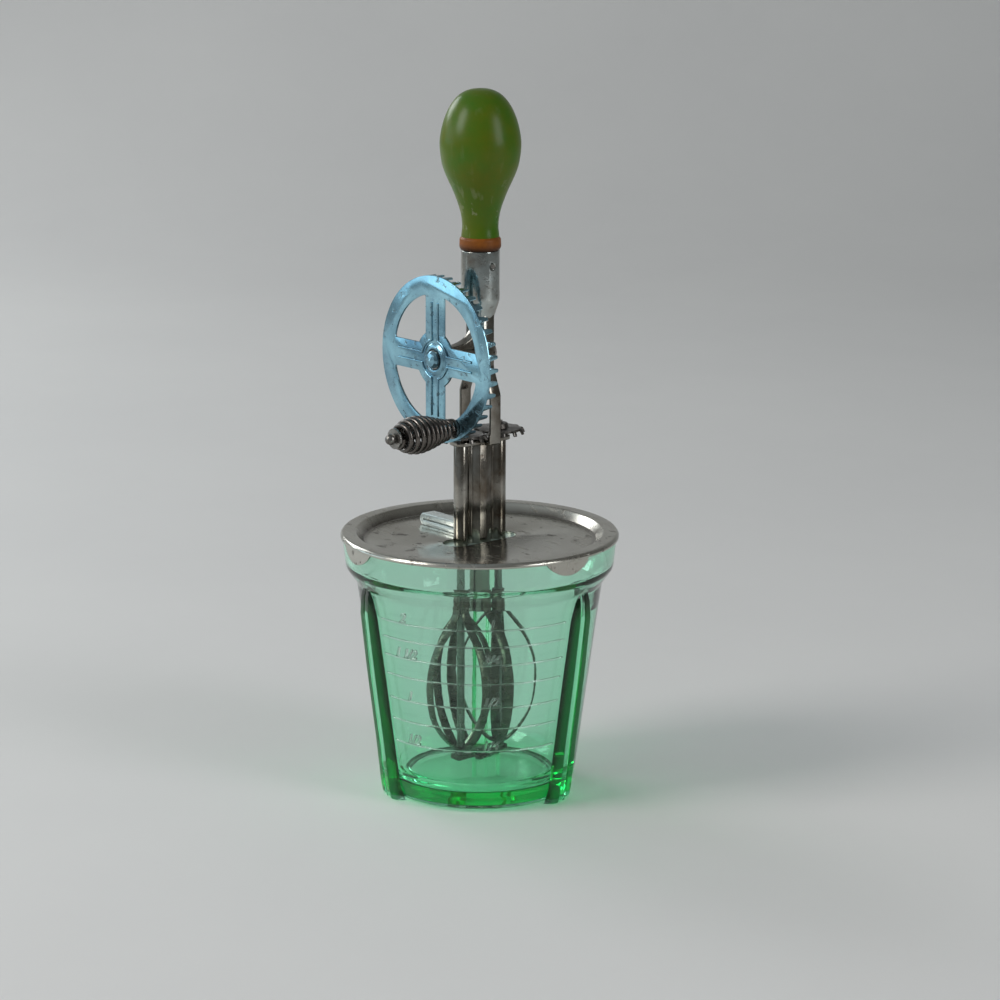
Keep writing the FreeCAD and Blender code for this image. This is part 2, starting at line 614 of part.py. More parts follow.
tabRound.Base = (tab, tabEdges)
tabRound.ChamferType = "Two distances"
tabRound.Size = 0.7
tabRound.Size2 = 0.7
tabs.Tip = tabRound
tabRing = doc.addObject("Part::Feature", "CrownRing")
doc.recompute()
ring = []
for k in range(int(num("teethWheel"))):
    one = tabRound.Shape.copy()
    one.rotate(V(0, 0, 0), V(0, 0, 1), 360.0 * k / num("teethWheel"))
    ring.append(one)
tabRing.Shape = Part.makeCompound(ring)
tabRing.Placement = FreeCAD.Placement(V(0, 0, 0.4), FreeCAD.Rotation())
ribItems = []
for k in range(4):
    rib = box("SpokeRib%d" % k, (num("wheelInR") - num("hubR") + 3, 2.2, 0.7), (0, 0, 0))
    turn = FreeCAD.Rotation(V(0, 0, 1), 90 * k)
    rib.Placement = FreeCAD.Placement(turn.multVec(V(num("hubR") - 1.5, -1.1, num("wheelT") - 0.1)), turn)
    ribItems.append(rib)
crankTool = cylinder("CrankHole", "crankPinR", 10, (num("crankX"), -num("crankDrop"), -5))
wheelJoined = join("WheelJoined", [wheel, wheelRing] + ribItems + [tabRing])
wheelBore = cylinder("WheelBore", num("studR") + num("runFit"), 20, (0, 0, -8))
wheelBore.setExpression("Radius", "Dims.studR + Dims.runFit")
wheelWhole = cut("WheelWhole", wheelJoined, join("WheelTools", [crankTool, wheelBore]))
# local +Z is -Y of the mixer, local +Y is up
upright = FreeCAD.Rotation(V(1, 0, 0), 90)
wheelWhole.Placement = FreeCAD.Placement(V(0, num("wheelBackY"), num("wheelZ")), upright)
node("drive_wheel", wheelWhole)

# axle stud, spacer, washer and cap
give("studBackY", 6.4)
give("wheelFrontY", "=wheelBackY - wheelT")
give("washerT", 0.8)
doc.recompute()
frontGap = 0.05
stud = cylinder("AxleStud", "studR", num("studBackY") - (num("wheelFrontY") - num("washerT") - 2.2), (0, num("studBackY"), num("wheelZ")), V(0, -1, 0))
studHead = cylinder("StudHead", 4.2, 1.2, (0, num("studBackY"), num("wheelZ")), V(0, -1, 0))
node("axle_stud", join("StudWhole", [stud, studHead]))
spacerOut = cylinder("SpacerOut", "bushR", -num("wheelBackY") - 5.2 - 0.05, (0, -5.2, num("wheelZ")), V(0, -1, 0))
spacerBore = cylinder("SpacerBore", "studR", 40, (0, 0, num("wheelZ")), V(0, -1, 0))
node("axle_spacer", cut("SpacerWhole", spacerOut, spacerBore))
washerOut = cylinder("WasherOut", 4.3, "washerT", (0, num("wheelFrontY") - frontGap, num("wheelZ")), V(0, -1, 0))
washerBore = cylinder("WasherBore", "studR", 40, (0, 0, num("wheelZ")), V(0, -1, 0))
node("hub_washer", cut("WasherWhole", washerOut, washerBore))
cap = body("hub_cap")
capSketch = sketch(cap, "CapSketch", "XZ_Plane")
give("capR", 3.9)
give("capMidR", 2.9)
give("capHigh", 2.6)
give("capMidZ", 1.9)
give("capLowZ", 0.7)
doc.recompute()
polygon(capSketch, [("studR", 0), ("capR", 0), ("capR", "capLowZ"), ("capMidR", "capMidZ"), (0, "capHigh"), (0, "capMidZ"), ("studR", "capMidZ")])
revolve(cap, capSketch, "CapDome")
cap.Placement = FreeCAD.Placement(V(0, num("wheelFrontY") - frontGap - num("washerT"), num("wheelZ")), upright)
stud.Height = num("studBackY") - (num("wheelFrontY") - frontGap - num("washerT") - num("capMidZ"))
node("hub_cap", cap)

# pinions, spindles and dasher loops
def pinion_sketch(made):
    pitch, tip, root = num("halfSpread"), num("pinionTip"), num("halfSpread") - num("pinionIn")
    count = int(num("teethPinion"))
    outline = []
    for k in range(count):
        mid = 2 * math.pi * k / count
        for radius, wide in ((root, 3.1), (pitch, 2.35), (tip - 0.25, 1.5), (tip, 0.9)):
            shift = math.asin(wide / 2 / radius)
            outline.append((mid, shift, radius))
    points = []
    for k in range(count):
        group = outline[4 * k:4 * k + 4]
        points += [V(r * math.cos(m - s), r * math.sin(m - s), 0) for m, s, r in group]
        points += [V(r * math.cos(m + s), r * math.sin(m + s), 0) for m, s, r in reversed(group)]
    for i in range(len(points)):
        made.addGeometry(Part.LineSegment(points[i], points[(i + 1) % len(points)]), False)
        made.addConstraint(Sketcher.Constraint("Block", i))


doc.recompute()
for place, side, phase in (("front", -1, 15.0), ("rear", 1, 0.0)):
    shaftY = side * num("halfSpread")
    pinion = body(place + "_pinion_blank")
    toothSketch = sketch(pinion, place + "ToothSketch", "XY_Plane")
    pinion_sketch(toothSketch)
    circle(toothSketch, 0, 0, "spindleR")
    pad(pinion, toothSketch, place + "Teeth", "pinionT")
    boss = cylinder(place + "Boss", 4.1, 2.4, (0, 0, num("pinionT")))
    bossBore = cylinder(place + "BossBore", "spindleR", 10, (0, 0, -1))
    whole = cut(place + "PinionWhole", join(place + "PinionJoin", [pinion, boss]), bossBore)
    whole.Placement = FreeCAD.Placement(V(0, shaftY, num("pinionZ")), FreeCAD.Rotation(V(0, 0, 1), phase))
    node(place + "_pinion", whole)
    low = num("dasherZ") - num("dasherHalf") - 2.4
    high = num("pinionZ") + num("pinionT") + 2.4 + 1.0
    shaft = cylinder(place + "Shaft", "spindleR", high - low, (0, shaftY, low))
    collar = cylinder(place + "Collar", 3.0, 3.0, (0, shaftY, num("dasherZ") + num("dasherHalf") + 0.05))
    node(place + "_spindle", join(place + "SpindleWhole", [shaft, collar]))
    start = 45.0 if side > 0 else 0.0
    for order in range(2):
        loop = body("%s_dasher_%s" % (place, ("loop", "cross_loop")[order]))
        loopSketch = sketch(loop, "%sLoopSketch%d" % (place, order), "XZ_Plane")
        # the second loop passes inside the first at both poles
        rise = num("dasherHalf") - order * (num("stripT") + num("crossClear"))
        wide = num("dasherR")
        for shrink in (0.0, num("stripT")):
            index = loopSketch.addGeometry(Part.Ellipse(V(0, num("dasherZ") + rise - shrink, 0), V(wide - shrink, num("dasherZ"), 0), V(0, num("dasherZ"), 0)), False)
            loopSketch.addConstraint(Sketcher.Constraint("Block", index))
        ringPad = pad(loop, loopSketch, "%sLoopPad%d" % (place, order), "stripWide", True)
        holeSketch = sketch(loop, "%sLoopHole%d" % (place, order), "XY_Plane")
        circle(holeSketch, 0, 0, "spindleR")
        hole = pad(loop, holeSketch, "%sLoopBore%d" % (place, order), 300, True, False, "PartDesign::Pocket")
        loop.Tip = hole
        loop.Placement = FreeCAD.Placement(V(0, shaftY, 0), FreeCAD.Rotation(V(0, 0, 1), start + 90 * order))
        node(loop.Label, loop)

# still guard arch with its pivot bridge and two rivets
guard = body("guard_arch")
guardSketch = sketch(guard, "GuardSketch", "XZ_Plane")
for shrink in (0.0, num("guardT")):
    index = guardSketch.addGeometry(Part.Ellipse(V(0, num("dasherZ") + num("guardHalfZ") - shrink, 0), V(num("guardHalfX") - shrink, num("dasherZ"), 0), V(0, num("dasherZ"), 0)), False)
    guardSketch.addConstraint(Sketcher.Constraint("Block", index))
pad(guard, guardSketch, "GuardStrip", "guardWide", True)
guardHoles = sketch(guard, "GuardHoles", "XY_Plane")
circle(guardHoles, 0, 0, "pinR")
guard.Tip = pad(guard, guardHoles, "GuardBore", 300, True, False, "PartDesign::Pocket")
node("guard_arch", guard)
guardTop = num("dasherZ") + num("guardHalfZ")
guardLow = num("dasherZ") - num("guardHalfZ")
seatZ = guardLow + num("guardT") + 0.16
bridgeZ = seatZ + 0.3
bridge = box("BridgePlate", (6, 2 * num("halfSpread") + 7, num("bridgeT")), (0, 0, bridgeZ))
bridgeHoles = [cylinder("BridgeHole%d" % k, 1.84, 10, (0, s * num("halfSpread"), bridgeZ - 2)) for k, s in enumerate((-1, 1))]
for hole in bridgeHoles:
    hole.setExpression("Radius", "Dims.spindleR + Dims.runFit")
bridgeHoles.append(cylinder("BridgeRivetHole", "pinR", 10, (0, 0, bridgeZ - 2)))
bridgeFoot = cylinder("BridgeFoot", 1.9, 0.4, (0, 0, seatZ))
node("pivot_bridge", cut("BridgeWhole", join("BridgeJoin", [bridge, bridgeFoot]), join("BridgeTools", bridgeHoles)))
lowRivet = cylinder("LowRivetShank", "pinR", num("bridgeT") + 2.4, (0, 0, guardLow - 0.2))
lowHead = cylinder("LowRivetHead", 2.2, 0.9, (0, 0, guardLow - 0.9))
topRivet = cylinder("TopRivetShank", "pinR", 4.0, (0, 0, guardTop - num("guardT") - 0.9))
topHead = cylinder("TopRivetHead", 2.2, 0.9, (0, 0, guardTop - num("guardT") - 1.14))
rivetLow = join("RivetLow", [lowRivet, lowHead])
rivetTop = join("RivetTop", [topRivet, topHead])
rivetBoth = doc.addObject("Part::Compound", "RivetBoth")
rivetBoth.Links = [rivetLow, rivetTop]
node("guard_rivets", rivetBoth)
sleeveBore = cylinder("SleeveRivetHole", "pinR", 6, (0, 0, num("sleeveLowZ") - 1))
frameTools.Shapes = [axleHole] + bores + [sleeveBore]

# crank: a pin through the wheel, a barrel-wound wire grip and its end pieces
give("crankFrontY", "=wheelBackY - wheelT")
give("coilLong", "=coilTurns * coilPitch")
doc.recompute()
crankZ = num("wheelZ") - num("crankDrop")
crankSpot = V(num("crankX"), num("crankFrontY"), crankZ)
gripStart = 1.5
pinLong = gripStart + num("coilLong") + 2 * num("wireR") + 1.6
crankShank = cylinder("CrankShank", "crankPinR", pinLong + num("wheelT") + 1.0, (num("crankX"), num("wheelBackY") + 1.0, crankZ), V(0, -1, 0))
crankHead = cylinder("CrankHead", 3.0, 1.0, (num("crankX"), num("wheelBackY") + 1.0, crankZ), V(0, -1, 0))
crankHead.Height = 0.98
crankKnob = doc.addObject("Part::Sphere", "CrankKnob")
crankKnob.Radius = num("knobR")
crankKnob.setExpression("Radius", "Dims.knobR")
crankKnob.Placement = FreeCAD.Placement(V(num("crankX"), num("crankFrontY") - pinLong - num("knobOut"), crankZ), FreeCAD.Rotation())
node("crank_pin", join("CrankPinWhole", [crankShank, crankHead, crankKnob]))


def coil_radius(u):
    # barrel: small at both ends, widest past the middle, u runs from the wheel to the knob
    return num("coilEndR") + (num("coilBigR") - num("coilEndR")) * math.sin(math.pi * u ** 1.6) ** 0.8


def coil_point(turn):
    u = min(max(turn / num("coilTurns"), 0.0), 1.0)
    r = coil_radius(u)
    return V(r * math.cos(2 * math.pi * turn), r * math.sin(2 * math.pi * turn), num("coilPitch") * turn)


def coil_way(turn):
    step = 0.0005
    a, b = max(turn - step, 0.0), min(turn + step, num("coilTurns"))
    way = coil_point(b) - coil_point(a)
    way.normalize()
    return way


def arc_to(start, way, end):
    chord = end - start
    along = V(chord).normalize()
    side = way - along * way.dot(along)
    if side.Length < 1e-7:
        return Part.makeLine(start, end)
    bend = math.acos(max(-1.0, min(1.0, way.dot(along))))
    side.normalize()
    return Part.Arc(start, (start + end) * 0.5 + side * (chord.Length / 2 * math.tan(bend / 2)), end).toShape()


def biarc(p0, t0, p1, t1):
    gap = p1 - p0
    total = t0 + t1
    bend = 2 * (1 - t0.dot(t1))
    reach = (-gap.dot(total) + math.sqrt(gap.dot(total) ** 2 + bend * gap.dot(gap))) / bend
    joint = (p0 + p1 + (t0 - t1) * reach) * 0.5
    first = arc_to(p0, t0, joint)
    away = arc_to(p1, t1 * -1, joint)
    return [first, away]


edges = []
steps = int(num("coilTurns") * 4)
for k in range(steps):
    a, b = k / 4.0, (k + 1) / 4.0
    edges += biarc(coil_point(a), coil_way(a), coil_point(b), coil_way(b))
spine = Part.Wire(Part.__sortEdges__(edges))
firstWay = coil_way(0.0)
profile = Part.Wire([Part.Circle(coil_point(0.0), firstWay, num("wireR")).toShape()])
coilShape = spine.makePipeShell([profile], True, False)
samples = [coil_point(k / 48.0) for k in range(int(num("coilTurns") * 48) + 1)]
least = min((samples[i] - samples[j]).Length for i in range(0, len(samples), 2) for j in range(i + 36, len(samples)))
print("coil gap to itself %.2f mm" % (least - 2 * num("wireR")))
coil = doc.addObject("Part::Feature", "CoilShape")
coil.Shape = coilShape
coil.Placement = FreeCAD.Placement(crankSpot + V(0, -gripStart - num("wireR"), 0), upright)
node("grip_coil", coil)
give("gripCupR", 4.6)
doc.recompute()
cupSeat = cylinder("InnerCup", "gripCupR", 1.2, (num("crankX"), num("crankFrontY") - 0.3, crankZ), V(0, -1, 0))
cupBore = cylinder("InnerCupBore", num("crankPinR") + num("runFit"), 30, (num("crankX"), num("crankFrontY") + 5, crankZ), V(0, -1, 0))
node("grip_inner_cup", cut("InnerCupWhole", cupSeat, cupBore))
outerSeat = cylinder("OuterCup", "gripCupR", 1.0, (num("crankX"), num("crankFrontY") - gripStart - num("coilLong") - 2 * num("wireR") - 0.15, crankZ), V(0, -1, 0))
outerBore = cylinder("OuterCupBore", num("crankPinR") + num("runFit"), 60, (num("crankX"), num("crankFrontY") + 5, crankZ), V(0, -1, 0))
node("grip_outer_cup", cut("OuterCupWhole", outerSeat, outerBore))

doc.recompute()
for item in doc.Objects:
    if "Invalid" in item.State or "Error" in item.State:
        raise RuntimeError("not recomputed: " + item.Name)
os.makedirs("parts", exist_ok=True)
for name, item in nodes.items():
    if item.Shape.isNull() or not item.Shape.isValid():
        raise RuntimeError("bad shape: " + name)
    item.Shape.exportStep("parts/" + name + ".step")
    size = item.Shape.BoundBox
    print("%s solids %d volume %.0f box %.1f %.1f %.1f to %.1f %.1f %.1f" % (name, len(item.Shape.Solids), item.Shape.Volume, size.XMin, size.YMin, size.ZMin, size.XMax, size.YMax, size.ZMax))
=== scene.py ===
import math
import bpy
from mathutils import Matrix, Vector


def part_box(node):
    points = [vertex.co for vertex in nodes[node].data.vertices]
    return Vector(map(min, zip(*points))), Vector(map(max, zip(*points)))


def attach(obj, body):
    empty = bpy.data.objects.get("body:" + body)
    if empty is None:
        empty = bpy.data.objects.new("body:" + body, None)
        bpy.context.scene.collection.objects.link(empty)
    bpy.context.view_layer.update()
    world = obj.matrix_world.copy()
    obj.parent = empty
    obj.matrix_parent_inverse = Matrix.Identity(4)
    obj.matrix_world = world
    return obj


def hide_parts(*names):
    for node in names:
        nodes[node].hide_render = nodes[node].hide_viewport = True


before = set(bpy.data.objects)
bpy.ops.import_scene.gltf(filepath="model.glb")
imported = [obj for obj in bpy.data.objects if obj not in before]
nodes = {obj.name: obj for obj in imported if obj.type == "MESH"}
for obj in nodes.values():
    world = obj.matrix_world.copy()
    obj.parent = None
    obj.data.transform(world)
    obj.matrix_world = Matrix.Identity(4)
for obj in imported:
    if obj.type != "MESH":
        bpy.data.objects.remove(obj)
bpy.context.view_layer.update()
mm = 0.001
print("stage: frame loaded")

# camera: fitted to the lid's rim, the base and the wheel
view = {"lens": 113.0, "sensor": 36, "azimuth": 49.5, "pitch": 13.3, "roll": 0.2,
        "distance": 1442, "aim": (9.3, 0, 136.8), "near": 0.05, "far": 20}
turn = math.radians(view["azimuth"])
tilt = math.radians(view["pitch"])
right = (math.cos(turn), math.sin(turn))
away = (-math.sin(turn) * math.cos(tilt), math.cos(turn) * math.cos(tilt), -math.sin(tilt))
aim = (view["aim"][0] * right[0], view["aim"][0] * right[1], view["aim"][2])
place = [(aim[i] - view["distance"] * away[i]) * mm for i in range(3)]
bpy.ops.object.camera_add(location=place)
camera = bpy.context.object
camera.name = "mainCamera"
camera.data.lens = view["lens"]
camera.data.sensor_width = view["sensor"]
camera.data.clip_start = view["near"]
camera.data.clip_end = view["far"]
camera.rotation_euler = (math.radians(90 - view["pitch"]), 0, turn)
camera.rotation_euler.rotate_axis("Z", math.radians(view["roll"]))
bpy.context.scene.camera = camera
print("stage: camera placed")


def only(obj):
    bpy.ops.object.select_all(action="DESELECT")
    obj.select_set(True)
    bpy.context.view_layer.objects.active = obj


def edit(obj):
    only(obj)
    bpy.ops.object.mode_set(mode="EDIT")
    bpy.ops.mesh.select_all(action="SELECT")


def done():
    bpy.ops.object.mode_set(mode="OBJECT")


# turns the selection counter-clockwise about an axis; the operator counts the other way
def turnBy(angle, axis, centre=(0, 0, 0)):
    bpy.ops.transform.rotate(value=-math.radians(angle), orient_axis=axis, orient_type="GLOBAL",
                             center_override=[v * mm for v in centre])


# rounds the corners of a line of (x, z, radius) points, in mm
def rounded(points, parts=5, closed=False):
    out = []
    count = len(points)
    for i, point in enumerate(points):
        radius = point[2] if len(point) > 2 else 0
        ends = not closed and i in (0, count - 1)
        if radius == 0 or ends:
            out.append((point[0], point[1]))
            continue
        before, after = points[i - 1], points[(i + 1) % count]
        ax, az = before[0] - point[0], before[1] - point[1]
        bx, bz = after[0] - point[0], after[1] - point[1]
        la, lb = math.hypot(ax, az), math.hypot(bx, bz)
        ax, az, bx, bz = ax / la, az / la, bx / lb, bz / lb
        half = math.acos(max(-1, min(1, ax * bx + az * bz))) / 2
        reach = min(radius / math.tan(half), la * 0.49, lb * 0.49)
        for k in range(parts + 1):
            u = k / parts
            sx = point[0] + ax * reach * (1 - u) ** 2 + bx * reach * u ** 2
            sz = point[1] + az * reach * (1 - u) ** 2 + bz * reach * u ** 2
            out.append((sx, sz))
    return out


# points on an arc, in mm, from one angle to another in radians
def arc(radius, start, end, parts, centre=(0, 0)):
    angles = [start + (end - start) * k / parts for k in range(parts + 1)]
    return [(centre[0] + radius * math.cos(a), centre[1] + radius * math.sin(a)) for a in angles]


# a smooth line through (x, z) points
def smoothLine(points, parts=6):
    out = []
    count = len(points)
    for i in range(count - 1):
        a, b, c, d = [points[max(0, min(count - 1, i + k))] for k in (-1, 0, 1, 2)]
        for k in range(parts):
            u = k / parts
            out.append(tuple(0.5 * (2 * b[j] + (c[j] - a[j]) * u
                                    + (2 * a[j] - 5 * b[j] + 4 * c[j] - d[j]) * u ** 2
                                    + (3 * b[j] - a[j] - 3 * c[j] + d[j]) * u ** 3) for j in (0, 1)))
    out.append(points[-1][:2])
    return out


# draws a line of points with extrudes, in the XZ or XY plane
def draw(name, line, flat=False, closed=True):
    bpy.ops.mesh.primitive_plane_add(size=0.001)
    obj = bpy.context.object
    obj.name = name
    edit(obj)
    bpy.ops.mesh.merge(type="CENTER")

    def step(dx, dy):
        return (dx * mm, dy * mm, 0) if flat else (dx * mm, 0, dy * mm)

    x, y = line[0]
    bpy.ops.transform.translate(value=step(x, y))
    for nx, ny in line[1:] + ([line[0]] if closed else []):
        bpy.ops.mesh.extrude_region_move(TRANSFORM_OT_translate={"value": step(nx - x, ny - y)})
        x, y = nx, ny
    bpy.ops.mesh.select_all(action="SELECT")
    bpy.ops.mesh.remove_doubles(threshold=1e-7)
    return obj


# pulls the selection out by (x, y, z), in mm
def pull(offset):
    bpy.ops.mesh.extrude_region_move(TRANSFORM_OT_translate={"value": tuple(v * mm for v in offset)})


# ends an edit with every face turned outwards
def closeEdit():
    bpy.ops.mesh.select_all(action="SELECT")
    bpy.ops.mesh.normals_make_consistent(inside=False)
    done()


def lathe(name, line, steps=144, closed=False):
    obj = draw(name, line, closed=closed)
    bpy.ops.mesh.select_all(action="SELECT")
    bpy.ops.mesh.spin(steps=steps, angle=2 * math.pi, center=(0, 0, 0), axis=(0, 0, 1))
    bpy.ops.mesh.select_all(action="SELECT")
    bpy.ops.mesh.remove_doubles(threshold=1e-6)
    closeEdit()
    return obj


# a flat shape of (x, y) points, from height low to height high
def plate(name, line, low, high):
    obj = draw(name, line, flat=True)
    bpy.ops.mesh.edge_face_add()
    bpy.ops.transform.translate(value=(0, 0, low * mm))
    pull((0, 0, high - low))
    closeEdit()
    return obj


# an upright shape of (x, z) points, thick along Y, or turned so that it is thick along X
def sheetBand(name, line, low, high, axis="Y"):
    obj = draw(name, line)
    bpy.ops.mesh.edge_face_add()
    bpy.ops.transform.translate(value=(0, low * mm, 0))
    pull((0, high - low, 0))
    bpy.ops.mesh.select_all(action="SELECT")
    if axis == "X":
        turnBy(90, "Z")
    closeEdit()
    return obj


def move(obj, offset):
    edit(obj)
    bpy.ops.transform.translate(value=[v * mm for v in offset])
    done()


def spinPiece(obj, angle, axis="Z", centre=(0, 0, 0)):
    edit(obj)
    turnBy(angle, axis, centre)
    done()


def around(obj, count):
    edit(obj)
    bpy.ops.mesh.spin(steps=count - 1, dupli=True, angle=2 * math.pi * (count - 1) / count,
                      center=(0, 0, 0), axis=(0, 0, 1))
    done()


def edgeRound(obj, width, segments, angle):
    mod = obj.modifiers.new("edgeRound", "BEVEL")
    mod.width = width * mm
    mod.segments = segments
    mod.limit_method = "ANGLE"
    mod.angle_limit = math.radians(angle)
    return mod


def bevel(obj, width, segments=2, angle=35):
    only(obj)
    bpy.ops.object.modifier_apply(modifier=edgeRound(obj, width, segments, angle).name)


def boolean(obj, tool, kind="DIFFERENCE"):
    only(obj)
    mod = obj.modifiers.new("cutShape", "BOOLEAN")
    mod.operation = kind
    mod.solver = "EXACT"
    mod.object = tool
    bpy.ops.object.modifier_apply(modifier=mod.name)
    bpy.data.objects.remove(tool)


def joined(name, parts):
    only(parts[0])
    for part in parts:
        part.select_set(True)
    if len(parts) > 1:
        bpy.ops.object.join()
    obj = bpy.context.object
    obj.name = name
    return obj


def smooth(obj, angle=32):
    only(obj)
    bpy.ops.object.shade_smooth_by_angle(angle=math.radians(angle))


def rod(name, radius, length, spot, sides=48, axis="Z"):
    bpy.ops.mesh.primitive_cylinder_add(vertices=sides, radius=radius * mm, depth=length * mm)
    obj = bpy.context.object
    obj.name = name
    if axis != "Z":
        spinPiece(obj, 90, "X" if axis == "Y" else "Y")
    move(obj, spot)
    return obj


# a round wire along (x, y, z) points, in mm
def wireAlong(name, points, radius, rings):
    curve = bpy.data.curves.new(name, "CURVE")
    curve.dimensions = "3D"
    curve.bevel_depth = radius * mm
    curve.bevel_resolution = rings
    curve.use_fill_caps = True
    line = curve.splines.new("POLY")
    line.points.add(len(points) - 1)
    for k, point in enumerate(points):
        line.points[k].co = (*[v * mm for v in point], 1)
    obj = bpy.data.objects.new(name, curve)
    bpy.context.collection.objects.link(obj)
    only(obj)
    bpy.ops.object.convert(target="MESH")
    return bpy.context.object


def give(obj, body, material, slotName, *replaced):
    obj.data.materials.clear()
    obj.data.materials.append(material)
    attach(obj, body)
    if replaced:
        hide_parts(*replaced)
    return obj


def link(tree, a, b):
    tree.links.new(a, b)


# a shader group that more than one material uses, with one mask as its output
def effectGroup(name, sockets):
    tree = bpy.data.node_groups.new(name, "ShaderNodeTree")
    for label, kind in sockets.items():
        tree.interface.new_socket(name=label, in_out="INPUT", socket_type="NodeSocket" + kind)
    tree.interface.new_socket(name="Amount", in_out="OUTPUT", socket_type="NodeSocketFloat")
    return tree, tree.nodes.new("NodeGroupInput"), tree.nodes.new("NodeGroupOutput")


def makeStains():
    sockets = {"Vector": "Vector", "Scale": "Float", "Low": "Float", "High": "Float"}
    tree, inside, outside = effectGroup("stains", sockets)
    noise = tree.nodes.new("ShaderNodeTexNoise")
    noise.inputs["Detail"].default_value = 6
    noise.inputs["Roughness"].default_value = 0.62
    span = tree.nodes.new("ShaderNodeMapRange")
    link(tree, inside.outputs["Vector"], noise.inputs["Vector"])
    link(tree, inside.outputs["Scale"], noise.inputs["Scale"])
    link(tree, noise.outputs["Fac"], span.inputs["Value"])
    link(tree, inside.outputs["Low"], span.inputs["From Min"])
    link(tree, inside.outputs["High"], span.inputs["From Max"])
    link(tree, span.outputs["Result"], outside.inputs["Amount"])
    return tree


def makeScratches():
    sockets = {"Vector": "Vector", "Scale": "Float", "Stretch": "Vector"}
    tree, inside, outside = effectGroup("scratches", sockets)
    stretched = tree.nodes.new("ShaderNodeVectorMath")
    stretched.operation = "MULTIPLY"
    noise = tree.nodes.new("ShaderNodeTexNoise")
    noise.inputs["Detail"].default_value = 3
    thin = tree.nodes.new("ShaderNodeMapRange")
    thin.inputs["From Min"].default_value = 0.6
    thin.inputs["From Max"].default_value = 0.72
    link(tree, inside.outputs["Vector"], stretched.inputs[0])
    link(tree, inside.outputs["Stretch"], stretched.inputs[1])
    link(tree, stretched.outputs["Vector"], noise.inputs["Vector"])
    link(tree, inside.outputs["Scale"], noise.inputs["Scale"])
    link(tree, noise.outputs["Fac"], thin.inputs["Value"])
    link(tree, thin.outputs["Result"], outside.inputs["Amount"])
    return tree


stains = makeStains()
scratches = makeScratches()


def startMaterial(name):
    material = bpy.data.materials.new(name)
    material.use_nodes = True
    tree = material.node_tree
    shader = tree.nodes["Principled BSDF"]
    coords = tree.nodes.new("ShaderNodeTexCoord")
    return material, tree, shader, coords.outputs["Object"]


def useGroup(tree, group, vector, values):
    node = tree.nodes.new("ShaderNodeGroup")
    node.node_tree = group
    link(tree, vector, node.inputs["Vector"])
    for label, value in values.items():
        node.inputs[label].default_value = value
    return node.outputs["Amount"]


def useStains(tree, vector, scale, low, high):
    return useGroup(tree, stains, vector, {"Scale": scale, "Low": low, "High": high})


def useScratches(tree, vector, scale, stretch):
    return useGroup(tree, scratches, vector, {"Scale": scale, "Stretch": stretch})


def mixColour(tree, amount, first, second):
    node = tree.nodes.new("ShaderNodeMix")
    node.data_type = "RGBA"
    for socket, value in ((node.inputs[6], first), (node.inputs[7], second)):
        if isinstance(value, tuple):
            socket.default_value = (*value, 1)
        else:
            link(tree, value, socket)
    if isinstance(amount, (int, float)):
        node.inputs[0].default_value = amount
    else:
        link(tree, amount, node.inputs[0])
    return node.outputs[2]


def maths(tree, kind, a, b=0.0):
    node = tree.nodes.new("ShaderNodeMath")
    node.operation = kind
    for socket, value in ((node.inputs[0], a), (node.inputs[1], b)):
        if isinstance(value, (int, float)):
            socket.default_value = value
        else:
            link(tree, value, socket)
    return node.outputs[0]


# value * factor + base
def scaled(tree, value, factor, base=0.0):
    product = maths(tree, "MULTIPLY", value, factor)
    return maths(tree, "ADD", product, base) if base else product


# rises from 0 to 1 between two values
def ramp(tree, value, low, high):
    node = tree.nodes.new("ShaderNodeMapRange")
    node.inputs["From Min"].default_value = low
    node.inputs["From Max"].default_value = high
    link(tree, value, node.inputs["Value"])
    return node.outputs["Result"]


def heightOf(tree, vector):
    node = tree.nodes.new("ShaderNodeSeparateXYZ")
    link(tree, vector, node.inputs["Vector"])
    return node.outputs["Z"]


# how far a spot is from the Z axis, in metres
def reachOf(tree, vector):
    flat = tree.nodes.new("ShaderNodeVectorMath")
    flat.operation = "MULTIPLY"
    flat.inputs[1].default_value = (1, 1, 0)
    link(tree, vector, flat.inputs[0])
    length = tree.nodes.new("ShaderNodeVectorMath")
    length.operation = "LENGTH"
    link(tree, flat.outputs["Vector"], length.inputs[0])
    return length.outputs["Value"]


def bump(tree, shader, height, strength, distance):
    node = tree.nodes.new("ShaderNodeBump")
    node.inputs["Strength"].default_value = strength
    node.inputs["Distance"].default_value = distance
    link(tree, height, node.inputs["Height"])
    link(tree, node.outputs["Normal"], shader.inputs["Normal"])


# darker colour within a width of a circle round the Z axis, radius and width in mm
def ringDarkening(tree, vector, ring, cloudy):
    radius, width = ring
    off = maths(tree, "ABSOLUTE", maths(tree, "SUBTRACT", reachOf(tree, vector), radius * mm))
    near = maths(tree, "SUBTRACT", 1.0, maths(tree, "DIVIDE", off, width * mm))
    near = maths(tree, "MAXIMUM", near, 0.0)
    return maths(tree, "MULTIPLY", near, scaled(tree, cloudy, 0.5, 0.45))


# how far clouds, spots and scratches show in every metal
metalWear = {"cloudSpan": (0.35, 0.7), "spotSpan": (0.58, 0.72), "spotRough": 0.25, "scratchRough": 0.12,
             "cloudHigh": 0.4, "scratchDeep": 0.6, "depth": 0.0004}


